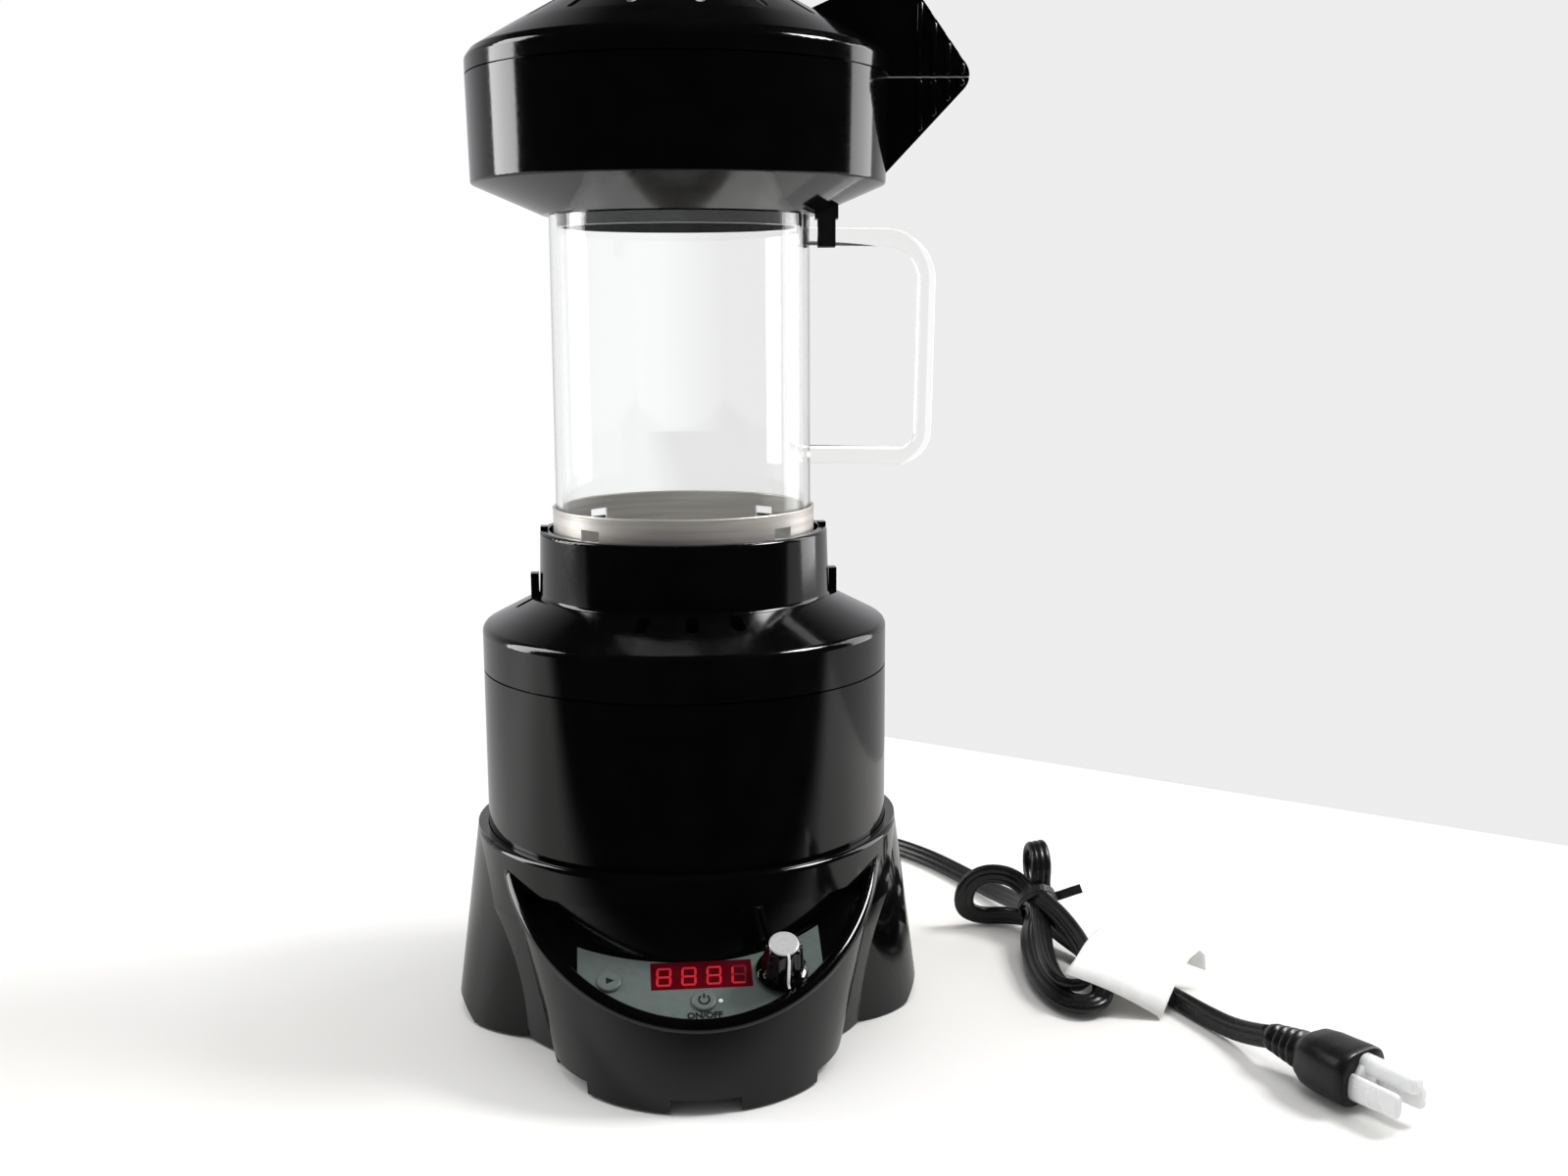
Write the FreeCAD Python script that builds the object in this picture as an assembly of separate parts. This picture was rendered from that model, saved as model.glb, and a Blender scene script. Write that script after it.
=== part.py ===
import FreeCAD, Part
import math
import os

# Home coffee bean roaster: a fan and heater base, a glass chamber that stands in its collar
# and a chaff collector on top. Millimetres, +Z up, the control panel faces -Y.
# The origin is on the roaster's own axis, at the surface it stands on.

V = FreeCAD.Vector
UP = V(0, 0, 1)
EPS = 0.02

# Driving dimensions of the base
BODY_R = 76.0
WALL = 2.6
LEDGE_R = BODY_R + 4.0
LEDGE_Z = 74.5
LEDGE_ROUND = 2.0
SKIRT_FOOT_R = BODY_R - 4.0
SKIRT_SCOOP_Z = 50.0
SKIRT_BOTTOM_Z = 1.0
FIT = 0.3
LOBE_TIP_R = BODY_R + 14.0
LOBE_FOOT_ROUND = 38.0
LOBE_TOP_ROUND = 64.0
POD_FRONT_Y = BODY_R + 29.0
POD_FOOT_ROUND = 51.0
POD_TOP_ROUND = 67.0
POD_TOP_Z = 62.0
PANEL_TILT = 30.0
PANEL_FRONT_Y = POD_FRONT_Y - 4.0
PANEL_FRONT_Z = 30.3
PANEL_THICK = 2.6
RIM_WIDTH = 2.8
RIM_RISE = 2.6
NOTCH_W = 24.0
NOTCH_H = 5.5
SPLIT_TOP_Y = -50.0
SPLIT_FOOT_Y = -22.0

# Main housing, shoulder and collar
SEAM_Z = 133.8
SEAM_GAP = 0.6
HOUSING_FOOT_Z = 60.0
LIP_H = 5.0
SHOULDER_Z = 150.0
SHOULDER_ROUND = 3.0
COLLAR_FOOT_R = 54.5
COLLAR_FOOT_Z = 161.0
COLLAR_R = 53.8
COLLAR_Z = 185.3
COLLAR_WALL = 3.2
VENT_ANGLES = (-17.0, -0.5, 15.0, -86.5)
VENT_W = 4.6
VENT_LEN = 9.0
POST_R = 56.2
POST_T = 3.0
POST_W = 5.0
POST_H = 8.5
BUMP_H = 1.2

# Glass chamber; the chamber and collector stand turned on the base, as far as the owner left them
TURN = -6.0
GLASS_R = 47.6
GLASS_WALL = 2.2
GLASS_TOP_Z = 299.6
SEAT_Z = 171.0
RING_GAP = 0.25
RING_LIP_R = 44.4
SEAT_GAP = 0.1
RING_WALL = 1.0
RING_TOP_Z = 193.4
WINDOW_W = 9.0
WINDOW_H = 4.0
WINDOW_ANGLES = (-46.0, 44.0, 134.0, 224.0)
SCREEN_T = 1.0
GASKET_T = 3.0
GASKET_W = 4.0
HANDLE_ROD = 6.8
HANDLE_REACH = 91.0
HANDLE_TOP_Z = 292.5
HANDLE_LOW_Z = 212.5
HANDLE_TOP_BEND = 15.0
HANDLE_LOW_BEND = 9.0

# Chaff collector and its lid
CONE_FOOT_R = 50.0
CONE_FOOT_Z = 300.0
BAND_FOOT_R = 75.2
BAND_FOOT_Z = 310.8
BAND_R = 76.0
LID_SEAM_Z = 348.0
LID_SEAM_GAP = 0.5
BOWL_WALL = 2.4
NECK_R = 44.8
NECK_Z = 295.5
CHIMNEY_R = 30.0
CHIMNEY_Z = 344.0
LID_RIM_Z = LID_SEAM_Z + 8.5
LID_RIM_R = 74.0
LID_SHOULDER_R = 61.0
LID_SHOULDER_Z = LID_SEAM_Z + 16.2
LID_TOP_R = 41.0
LID_TOP_Z = LID_SEAM_Z + 27.6
LID_CROWN_Z = LID_TOP_Z + 1.4
LID_SLOTS = 16
LID_SLOT_W = 3.2
LID_SLOT_IN = 44.0
LID_SLOT_OUT = 59.0
LID_SLOT_PHASE = 5.0
WING_T = 9.0
WING_TIP_X = 107.0
WING_TIP_ROUND = 7.0
WING_FOOT_Z = 313.6
WING_PEAK_X = 80.0
WING_PEAK_Z = 386.0
WING_ROOT_X = 46.0
WING_RIBS = 4
WING_RIB_PITCH = 5.0
WING_RIB_X = 87.0
WING_RIB_DEPTH = 0.7
FORK_X = 50.0
FORK_W = 6.4
FORK_T = 2.6
FORK_LOW_Z = 288.4

# Panel furniture, placed across the panel (X) and down its slope from the skirt
KNOB_X = 27.6
KNOB_SLOPE = 19.4
KNOB_R = 7.9
KNOB_FOOT_R = 9.0
KNOB_H = 15.0
KNOB_DISC_R = 6.4
KNOB_FLUTES = 18
KNOB_TRAVEL = 0.8
SHAFT_R = 3.0
DISPLAY_X = 0.0
DISPLAY_SLOPE = 20.6
DISPLAY_W = 35.0
DISPLAY_H = 11.6
RUN_X = -31.5
RUN_SLOPE = 19.0
POWER_X = 0.3
POWER_SLOPE = 9.4
BUTTON_R = 4.2
BUTTON_STEM = -9.2
BUTTON_RISE = 1.1
OVERLAY_T = 0.5
BOARD_SLOPE = 16.5
BOARD_W = 80.0
BOARD_LEG_R = 1.8
BOARD_LEG_X = 24.0
BOARD_LEG_END_X = 37.5
BOARD_H = 20.0
BOARD_T = 1.6
BOARD_RISE = -10.4
BOARD_GAP = 0.8

# Fan, motor and heater
MOTOR_R = 17.0
MOTOR_H = 34.0
MOTOR_SHAFT_R = 2.5
PLATE_Z = 62.0
PLATE_T = 2.5
IMPELLER_R = 46.0
IMPELLER_Z = 72.0
IMPELLER_H = 20.0
BLADES = 12
SCROLL_R = 56.0
SCROLL_Z = 98.0
TUBE_R = 38.0
COIL_TURNS = 6

# Underside
COVER_Z = 5.0
COVER_T = 2.5
FOOT_H = 5.0
FOOT_R = 7.0
FOOT_RING_R = 60.0
FOOT_ANGLES = (35.0, 145.0, 215.0, 325.0)
SHELF_R = 62.0
SHELF_T = 3.0

# Mains lead
CORD_D = 7.0
GLAND_Z = 16.0
GLAND_Y = LOBE_TIP_R - 7.0
GLAND_LEN = 21.0
GLAND_COLLAR_T = 2.2
GLAND_R = 6.5


def rotated(shape, degrees, centre=V(0, 0, 0), axis=UP):
    turned = shape.copy()
    turned.rotate(centre, axis, degrees)
    return turned


def revolved(points):
    """Closed (r, z) outline, turned a full circle about Z."""
    edges = Part.makePolygon([V(r, 0, z) for r, z in points + points[:1]])
    solid = Part.Face(edges).revolve(V(0, 0, 0), UP, 360)
    return solid


def cylinder(radius, low, high, x=0.0, y=0.0):
    return Part.makeCylinder(radius, high - low, V(x, y, low), UP)


def tube(outer, inner, low, high, x=0.0, y=0.0):
    return cylinder(outer, low, high, x, y).cut(cylinder(inner, low - 1, high + 1, x, y))


def box(x0, x1, y0, y1, z0, z1):
    return Part.makeBox(x1 - x0, y1 - y0, z1 - z0, V(x0, y0, z0))


def fused(shapes):
    joined = shapes[0]
    if len(shapes) > 1:
        joined = joined.multiFuse(shapes[1:])
    return joined.removeSplitter()


def group(shapes):
    return Part.makeCompound(shapes)


def ring_edges(solid, radius, z, tolerance=0.05):
    """Circular edges of a turned solid at one radius and height."""
    found = []
    for edge in solid.Edges:
        curve = edge.Curve
        if not isinstance(curve, Part.Circle):
            continue
        if abs(curve.Radius - radius) < tolerance and abs(curve.Center.z - z) < tolerance:
            found.append(edge)
    return found


def circle_wire(radius, x, y, z):
    return Part.Wire([Part.makeCircle(radius, V(x, y, z), UP)])


# Panel plane: a point on it, its normal, and places measured across it and up its slope
TILT = math.radians(PANEL_TILT)
PANEL_NORMAL = V(0, -math.sin(TILT), math.cos(TILT))
SLOPE_UP = V(0, math.cos(TILT), math.sin(TILT))
PANEL_EDGE = V(0, -PANEL_FRONT_Y, PANEL_FRONT_Z)


def on_panel(x, slope, rise=0.0):
    return PANEL_EDGE + V(x, 0, 0) + SLOPE_UP * slope + PANEL_NORMAL * rise


def panel_cylinder(radius, x, slope, low, high):
    return Part.makeCylinder(radius, high - low, on_panel(x, slope, low), PANEL_NORMAL)


def panel_box(x, slope, width, height, low, high):
    block = Part.makeBox(width, height, high - low, V(-width / 2, -height / 2, 0))
    block.rotate(V(0, 0, 0), V(1, 0, 0), PANEL_TILT)
    block.translate(on_panel(x, slope, low))
    return block


def above_panel(rise):
    """Everything over a plane that lies this far above the panel."""
    size = 400
    block = Part.makeBox(size, size, size, V(-size / 2, -size / 2, 0))
    block.rotate(V(0, 0, 0), V(1, 0, 0), PANEL_TILT)
    block.translate(on_panel(0, 0, rise))
    return block


def skirt_core(inset, low):
    points = [(0, low), (SKIRT_FOOT_R - inset, low), (LEDGE_R - inset, SKIRT_SCOOP_Z)]
    points += [(LEDGE_R - inset, LEDGE_Z - inset), (0, LEDGE_Z - inset)]
    return revolved(points)


def lobe(angle, inset, low):
    """One flared foot: circles that shrink and lean outward towards the floor."""
    spread = (LOBE_TIP_R - LEDGE_R) / LEDGE_Z
    wires = []
    for share in (0.0, 0.35, 0.7, 1.0):
        z = low + (LEDGE_Z - inset - low) * share
        radius = LOBE_FOOT_ROUND + (LOBE_TOP_ROUND - LOBE_FOOT_ROUND) * share ** 0.8
        tip = LOBE_TIP_R - spread * z
        wires.append(circle_wire(radius - inset, tip - radius, 0, z))
    solid = Part.makeLoft(wires, True, False)
    return rotated(solid, angle)


def pod_outline(radius, centre_y, z):
    """Round nose with straight sides that run back into the skirt."""
    back = -18.0
    left = V(-radius, centre_y, z)
    right = V(radius, centre_y, z)
    nose = Part.Arc(right, V(0, centre_y - radius, z), left).toShape()
    sides = [Part.makeLine(left, V(-radius, back, z)), Part.makeLine(V(-radius, back, z), V(radius, back, z))]
    sides += [Part.makeLine(V(radius, back, z), right)]
    return Part.Wire([nose] + sides)


def pod(inset, low):
    foot = pod_outline(POD_FOOT_ROUND - inset, POD_FOOT_ROUND - POD_FRONT_Y, low)
    top = pod_outline(POD_TOP_ROUND - inset, POD_TOP_ROUND - POD_FRONT_Y, POD_TOP_Z)
    return Part.makeLoft([foot, top], True, True)


def tucked_bottom():
    """The flared feet turn in over their last few millimetres."""
    return revolved([(88.4, 6.5), (120, 6.5), (120, -2), (84.0, -2)])


def skirt_outer():
    nose = pod(0, SKIRT_BOTTOM_Z).cut(above_panel(RIM_RISE))
    core = skirt_core(0, SKIRT_BOTTOM_Z)
    for edge in ring_edges(core, LEDGE_R, LEDGE_Z):
        core = core.makeFillet(LEDGE_ROUND, [edge])
    lobes = [lobe(angle, 0, SKIRT_BOTTOM_Z) for angle in (0, 90, 180)]
    body = core.multiFuse(lobes)
    bottom_cut = tucked_bottom().cut(box(-200, 200, -200, -45, -10, 30))
    body = body.cut(bottom_cut)
    return body.fuse(nose)


def skirt_cavity():
    inside = pod(WALL, -5).cut(above_panel(-PANEL_THICK))
    front_wall = box(-200, 200, -200, 200, -10, LEDGE_Z - WALL)
    core = skirt_core(WALL, -5).common(front_wall)
    lobes = [lobe(angle, WALL, -5).common(front_wall) for angle in (0, 90, 180)]
    return core.multiFuse(lobes + [inside])


def panel_recess():
    """Room over the control panel inside its rim, back to the skirt's round front wall."""
    tray = pod(RIM_WIDTH, SKIRT_BOTTOM_Z).common(above_panel(0))
    return tray.cut(cylinder(LEDGE_R - 2.0, -10, 200))


def notch(angle, reach):
    block = box(-NOTCH_W / 2, NOTCH_W / 2, -reach - 20, -reach + 14, -5, NOTCH_H)
    return rotated(block, angle)


def split_region():
    """Side view of the slanted parting line; everything in front of it."""
    slope = (SPLIT_TOP_Y - SPLIT_FOOT_Y) / SKIRT_SCOOP_Z
    top_y = SPLIT_FOOT_Y + slope * SKIRT_SCOOP_Z
    corners = [V(-130, -200, -10), V(-130, SPLIT_FOOT_Y - slope * 10, -10), V(-130, top_y, SKIRT_SCOOP_Z)]
    corners += [V(-130, -20, LEDGE_Z + 5), V(-130, -200, LEDGE_Z + 5), V(-130, -200, -10)]
    return Part.Face(Part.makePolygon(corners)).extrude(V(260, 0, 0))


def control_holes():
    holes = [panel_cylinder(SHAFT_R + 1.4, KNOB_X, KNOB_SLOPE, -20, 10)]
    holes.append(panel_cylinder(BUTTON_R + 0.4, RUN_X, RUN_SLOPE, -20, 10))
    holes.append(panel_cylinder(BUTTON_R + 0.4, POWER_X, POWER_SLOPE, -20, 10))
    holes.append(panel_box(DISPLAY_X, DISPLAY_SLOPE, DISPLAY_W, DISPLAY_H, -20, 10))
    return holes


def skirt_shells():
    shell = skirt_outer().cut(skirt_cavity())
    bore = cylinder(BODY_R + FIT, HOUSING_FOOT_Z, LEDGE_Z + 5)
    shelf = tube(LEDGE_R - 1.0, BODY_R - 6, HOUSING_FOOT_Z - 3, HOUSING_FOOT_Z)
    cover_top = COVER_Z + COVER_T
    cover_shelf = tube(SKIRT_FOOT_R, SHELF_R, cover_top, cover_top + SHELF_T)
    shell = shell.cut(bore).multiFuse([shelf, cover_shelf])
    cuts = [panel_recess()] + control_holes()
    for angle, reach in ((0, POD_FRONT_Y), (-32, 92.0), (32, 92.0)):
        cuts.append(notch(angle, reach))
    gland_hole = Part.makeCylinder(GLAND_R + EPS, 40, V(0, GLAND_Y - 5, GLAND_Z), V(0, 1, 0))
    shell = shell.cut(group(cuts + [gland_hole]))
    front_region = split_region()
    front = shell.common(front_region)
    rear = shell.cut(front_region)
    return front, rear


def main_housing():
    outer = BODY_R
    inner = BODY_R - WALL
    lip = inner + 1.0
    points = [(outer, HOUSING_FOOT_Z), (outer, SEAM_Z), (lip, SEAM_Z), (lip, SEAM_Z + LIP_H)]
    points += [(inner, SEAM_Z + LIP_H), (inner, HOUSING_FOOT_Z)]
    return revolved(points)


def vent(angle):
    slot = box(-VENT_W / 2, VENT_W / 2, -COLLAR_FOOT_R - VENT_LEN, -COLLAR_FOOT_R - 0.8, 130, 175)
    upright = [edge for edge in slot.Edges if abs(edge.Length - 45) < EPS]
    slot = slot.makeFillet(VENT_W / 2 - 0.2, upright)
    return rotated(slot, angle)


def shoulder_cover():
    low = SEAM_Z + SEAM_GAP
    bore = BODY_R - WALL + 1.0 + 0.2
    points = [(BODY_R, low), (BODY_R, SHOULDER_Z), (COLLAR_FOOT_R, COLLAR_FOOT_Z)]
    points += [(COLLAR_R, COLLAR_Z), (COLLAR_R - COLLAR_WALL, COLLAR_Z)]
    points += [(COLLAR_R - COLLAR_WALL, SEAT_Z), (44.0, SEAT_Z), (44.0, SEAT_Z - 3)]
    points += [(COLLAR_R - COLLAR_WALL, SEAT_Z - 3), (COLLAR_R - COLLAR_WALL, COLLAR_FOOT_Z - 2.4)]
    points += [(bore, SHOULDER_Z - 3.2), (bore, low)]
    cover = revolved(points)
    edges = ring_edges(cover, BODY_R, SHOULDER_Z)
    cover = cover.makeFillet(SHOULDER_ROUND, edges)
    edges = ring_edges(cover, COLLAR_R, COLLAR_Z)
    cover = cover.makeFillet(1.4, edges)
    edges = ring_edges(cover, COLLAR_FOOT_R, COLLAR_FOOT_Z)
    cover = cover.makeFillet(1.5, edges)
    cover = cover.cut(group([vent(angle) for angle in VENT_ANGLES]))
    extras = []
    for side in (-1, 1):
        mid = side * POST_R
        extras.append(box(mid - POST_T / 2, mid + POST_T / 2, -POST_W / 2, POST_W / 2, 157.5, 160.4 + POST_H))
        mid = side * (COLLAR_R - COLLAR_WALL / 2)
        extras.append(box(mid - 1.4, mid + 1.4, -2.5, 2.5, COLLAR_Z - 2, COLLAR_Z + BUMP_H))
    return cover.multiFuse(extras)


def bottom_cover():
    plate_r = SKIRT_FOOT_R - WALL - 1.2
    plate = cylinder(plate_r, COVER_Z, COVER_Z + COVER_T)
    holes = []
    for ring, count in ((14, 8), (24, 14), (34, 20), (44, 26)):
        for step in range(count):
            angle = math.radians(step * 360.0 / count)
            holes.append(cylinder(2.6, 0, 20, ring * math.cos(angle), ring * math.sin(angle)))
    return plate.cut(group(holes))


def foot_places():
    places = [(FOOT_RING_R * math.cos(math.radians(a)), FOOT_RING_R * math.sin(math.radians(a))) for a in FOOT_ANGLES]
    return places


def rubber_feet():
    feet = []
    for x, y in foot_places():
        foot = cylinder(FOOT_R, 0, FOOT_H, x, y)
        foot = foot.makeFillet(1.0, ring_edges(foot, FOOT_R, 0))
        feet.append(foot)
    return group(feet)


def bottom_screws():
    screws = []
    for x, y in foot_places():
        head = cylinder(2.8, COVER_Z - 1.6, COVER_Z, x * 0.8, y * 0.8)
        socket = cylinder(1.2, 0, COVER_Z - 0.6, x * 0.8, y * 0.8)
        screws.append(head.cut(socket))
    return group(screws)


def motor_mount():
    disc = cylinder(66.0, PLATE_Z, PLATE_Z + PLATE_T).cut(cylinder(8.0, 0, 100))
    ports = [rotated(cylinder(6, 0, 100, 30, 0), a) for a in range(0, 360, 45)]
    disc = disc.cut(group(ports))
    legs = []
    for angle in (45, 135, 225, 315):
        leg = cylinder(3.5, COVER_Z + COVER_T, PLATE_Z, 52, 0)
        legs.append(rotated(leg, angle))
    return fused([disc] + legs)


def motor_can():
    top = PLATE_Z
    can = cylinder(MOTOR_R, top - MOTOR_H, top)
    can = can.makeFillet(3.0, ring_edges(can, MOTOR_R, top - MOTOR_H))
    boss = cylinder(7.6, top - EPS, top + 4)
    can = can.fuse(boss)
    return can.cut(cylinder(MOTOR_SHAFT_R + 0.05, 0, 100))


def motor_shaft():
    return cylinder(MOTOR_SHAFT_R, PLATE_Z - MOTOR_H + 4, IMPELLER_Z + 14)


def impeller():
    low = IMPELLER_Z
    top = low + IMPELLER_H
    back = cylinder(IMPELLER_R, low, low + 1.6)
    hub = cylinder(8.0, low, low + 12)
    rim = tube(IMPELLER_R, IMPELLER_R - 12, top - 1.4, top)
    blades = []
    for step in range(BLADES):
        centre = V(26, 10, low + 1)
        outer = Part.makeCylinder(26, IMPELLER_H - 1.5, centre, UP)
        inner = Part.makeCylinder(24.4, IMPELLER_H, V(26, 10, low), UP)
        sweep = outer.cut(inner).common(tube(IMPELLER_R - 1, 12, low, top)).common(box(0, 60, -30, 6, 0, 200))
        blades.append(rotated(sweep, step * 360.0 / BLADES))
    wheel = fused([back, hub, rim] + blades)
    return wheel.cut(cylinder(MOTOR_SHAFT_R, 0, 200))


def fan_housing():
    """Round duct round the fan wheel; its neck carries the heater tube."""
    foot = PLATE_Z + PLATE_T
    outer = SCROLL_R
    wall = 2.0
    points = [(outer - wall, foot), (outer, foot), (outer, SCROLL_Z), (TUBE_R + wall, SCROLL_Z + 8)]
    points += [(TUBE_R + wall, SCROLL_Z + 16), (TUBE_R + EPS, SCROLL_Z + 16), (TUBE_R + EPS, SCROLL_Z + 8)]
    points += [(TUBE_R - 3, SCROLL_Z + 8), (TUBE_R - 3, SCROLL_Z + 6), (outer - wall, SCROLL_Z - wall)]
    return revolved(points)


def heater_tube():
    return tube(TUBE_R, TUBE_R - 1.0, SCROLL_Z + 8, SEAT_Z - 3 - FIT)


def heater_frame():
    low = SCROLL_Z + 10
    high = 156.0
    span = TUBE_R - 1.0 - FIT
    cross = box(-span, span, -0.6, 0.6, low, high).fuse(box(-0.6, 0.6, -span, span, low, high))
    return cross.removeSplitter()


def coil_levels():
    low = SCROLL_Z + 18
    pitch = (148.0 - low) / (COIL_TURNS - 1)
    return [low + pitch * step for step in range(COIL_TURNS)]


def heater_coil():
    return group([Part.makeTorus(24.0, 1.1, V(0, 0, z), UP) for z in coil_levels()])


def heater_frame_slotted():
    return heater_frame().cut(group([Part.makeTorus(24.0, 1.25, V(0, 0, z), UP) for z in coil_levels()]))


def thermal_fuse():
    body = Part.makeCylinder(2.2, 14, V(TUBE_R + 2.7, -7, 130), V(0, 1, 0))
    strap = box(TUBE_R, TUBE_R + 1.2, -9, 9, 127, 133)
    return body.fuse(strap).removeSplitter()


def power_board():
    board = box(-24, 24, 46.0, 61.0, 40.0, 41.6)
    choke = cylinder(7, 41.6, 52, -10, 53)
    relay = box(2, 16, 48, 58, 41.6, 54)
    return fused([board, choke, relay])


def board_posts():
    posts = [box(-24, -21, 46, 49, COVER_Z + COVER_T, 40), box(21, 24, 46, 49, COVER_Z + COVER_T, 40)]
    return posts


def control_board():
    board = panel_box(0, BOARD_SLOPE, BOARD_W, BOARD_H, BOARD_RISE - BOARD_T, BOARD_RISE)
    board = board.common(pod(WALL + BOARD_GAP, -5.0))
    legs = []
    front = BOARD_SLOPE - BOARD_H / 2 + BOARD_LEG_R
    back = BOARD_SLOPE + BOARD_H / 2 - BOARD_LEG_R
    for x, slope in ((-BOARD_LEG_X, front), (-BOARD_LEG_X, back), (BOARD_LEG_X, front), (BOARD_LEG_END_X, back)):
        legs.append(panel_cylinder(BOARD_LEG_R, x, slope, BOARD_RISE, -PANEL_THICK - SEAT_GAP))
    return fused([board] + legs)


def display_module():
    return panel_box(DISPLAY_X, DISPLAY_SLOPE, DISPLAY_W - 1.0, DISPLAY_H - 1.0, -10.4, -1.4)


def display_window():
    return panel_box(DISPLAY_X, DISPLAY_SLOPE, DISPLAY_W - 0.2, DISPLAY_H - 0.2, -1.3, OVERLAY_T)


def encoder_body():
    body = panel_box(KNOB_X, KNOB_SLOPE, 12, 12, -10.4, -PANEL_THICK - 1.0)
    bush = panel_cylinder(4.3, KNOB_X, KNOB_SLOPE, -PANEL_THICK - 1.0, -0.2)
    bore = panel_cylinder(SHAFT_R + 0.06, KNOB_X, KNOB_SLOPE, -9.0, 5)
    return body.fuse(bush).cut(bore)


def encoder_shaft():
    return panel_cylinder(SHAFT_R, KNOB_X, KNOB_SLOPE, -7.4, KNOB_H - 5.0)


def knob_body():
    low = OVERLAY_T + KNOB_TRAVEL + 0.4
    skirt = panel_cylinder(KNOB_FOOT_R, KNOB_X, KNOB_SLOPE, low, low + 1.6)
    cone = Part.makeCone(
        KNOB_R, KNOB_R - 1.0, KNOB_H - 1.6, on_panel(KNOB_X, KNOB_SLOPE, low + 1.6), PANEL_NORMAL
    )
    flutes = []
    for step in range(KNOB_FLUTES):
        angle = 2 * math.pi * step / KNOB_FLUTES
        reach = KNOB_R + 0.25
        x = KNOB_X + reach * math.cos(angle)
        slope = KNOB_SLOPE + reach * math.sin(angle)
        flutes.append(panel_cylinder(0.9, x, slope, low + 1.7, low + KNOB_H + 2))
    grip = cone.cut(group(flutes)).fuse(skirt)
    bore = panel_cylinder(SHAFT_R + 0.05, KNOB_X, KNOB_SLOPE, -5, KNOB_H - 5.0 + 0.1)
    recess = panel_cylinder(KNOB_DISC_R + 0.05, KNOB_X, KNOB_SLOPE, low + KNOB_H - 0.6, low + KNOB_H + 2)
    return grip.cut(bore).cut(recess)


def knob_disc():
    low = OVERLAY_T + KNOB_TRAVEL + 0.4 + KNOB_H - 0.6
    return panel_cylinder(KNOB_DISC_R, KNOB_X, KNOB_SLOPE, low, low + 0.9)


def push_button(x, slope):
    """A domed cap on a stem that ends over the board's switch."""
    rise = OVERLAY_T + BUTTON_RISE
    stem = panel_cylinder(BUTTON_R - 1.2, x, slope, BUTTON_STEM, -2.0)
    cap = panel_cylinder(BUTTON_R, x, slope, -2.2, rise)
    top_edges = [edge for edge in cap.Edges if isinstance(edge.Curve, Part.Circle)]
    top = max(top_edges, key=lambda edge: (edge.Curve.Center - PANEL_EDGE).dot(PANEL_NORMAL))
    cap = cap.makeFillet(0.8, [top])
    return cap.fuse(stem)


def panel_overlay():
    """Thin printed sheet that lies in the tray; its edges follow the rim and the skirt wall."""
    reach = RIM_WIDTH + 2.2
    sheet = pod(reach, SKIRT_BOTTOM_Z).common(above_panel(0)).cut(above_panel(OVERLAY_T))
    sheet = sheet.cut(cylinder(LEDGE_R - 1.4, -10, 200))
    sheet = sheet.common(box(-43.5, 47.5, -200, 0, -10, 100))
    return sheet.cut(group(control_holes()))


def chamber_ring():
    inner = GLASS_R + RING_GAP
    outer = inner + RING_WALL
    low = SEAT_Z + SEAT_GAP
    points = [(inner, RING_TOP_Z), (outer, RING_TOP_Z), (outer, low), (RING_LIP_R, low)]
    points += [(RING_LIP_R, low + RING_WALL), (inner, low + RING_WALL)]
    ring = revolved(points)
    windows = []
    for angle in WINDOW_ANGLES:
        cut = box(-WINDOW_W / 2, WINDOW_W / 2, -60, -40, COLLAR_Z - 0.6, COLLAR_Z - 0.6 + WINDOW_H)
        windows.append(rotated(cut, angle))
    return ring.cut(group(windows))


def chamber_screen():
    low = SEAT_Z + SEAT_GAP + RING_WALL
    plate = cylinder(GLASS_R, low, low + SCREEN_T)
    holes = []
    for ring, count in ((0, 1), (10, 8), (20, 16), (30, 24), (39, 32)):
        for step in range(count):
            angle = 2 * math.pi * step / count
            holes.append(cylinder(1.6, 0, 200, ring * math.cos(angle), ring * math.sin(angle)))
    return plate.cut(group(holes))


def chamber_gasket():
    low = SEAT_Z + SEAT_GAP + RING_WALL + SCREEN_T
    return tube(GLASS_R, GLASS_R - GASKET_W, low, low + GASKET_T)


def handle_path():
    inner = GLASS_R - GLASS_WALL / 2
    top = V(inner, 0, HANDLE_TOP_Z)
    corner_top = V(HANDLE_REACH, 0, HANDLE_TOP_Z - 0.8)
    corner_low = V(HANDLE_REACH - 1.5, 0, HANDLE_LOW_Z - 0.8)
    low = V(inner, 0, HANDLE_LOW_Z)
    return rounded_path([top, corner_top, corner_low, low], [0, HANDLE_TOP_BEND, HANDLE_LOW_BEND, 0])


def rounded_path(points, radii):
    """Straight runs joined by tangent arcs."""
    edges = []
    last = points[0]
    for index in range(1, len(points) - 1):
        before = (points[index - 1] - points[index]).normalize()
        after = (points[index + 1] - points[index]).normalize()
        turn = math.pi - before.getAngle(after)
        setback = radii[index] * math.tan(turn / 2)
        start = points[index] + before * setback
        end = points[index] + after * setback
        bisector = (before + after).normalize()
        centre = points[index] + bisector * (radii[index] / math.cos(turn / 2))
        middle = centre - bisector * radii[index]
        edges.append(Part.LineSegment(last, start).toShape())
        edges.append(Part.Arc(start, middle, end).toShape())
        last = end
    edges.append(Part.LineSegment(last, points[-1]).toShape())
    return Part.Wire(edges)


def swept(path, radius):
    first = path.Edges[0]
    start = first.valueAt(first.FirstParameter)
    along = first.tangentAt(first.FirstParameter)
    section = Part.Wire([Part.makeCircle(radius, start, along)])
    return path.makePipeShell([section], True, False)


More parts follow.
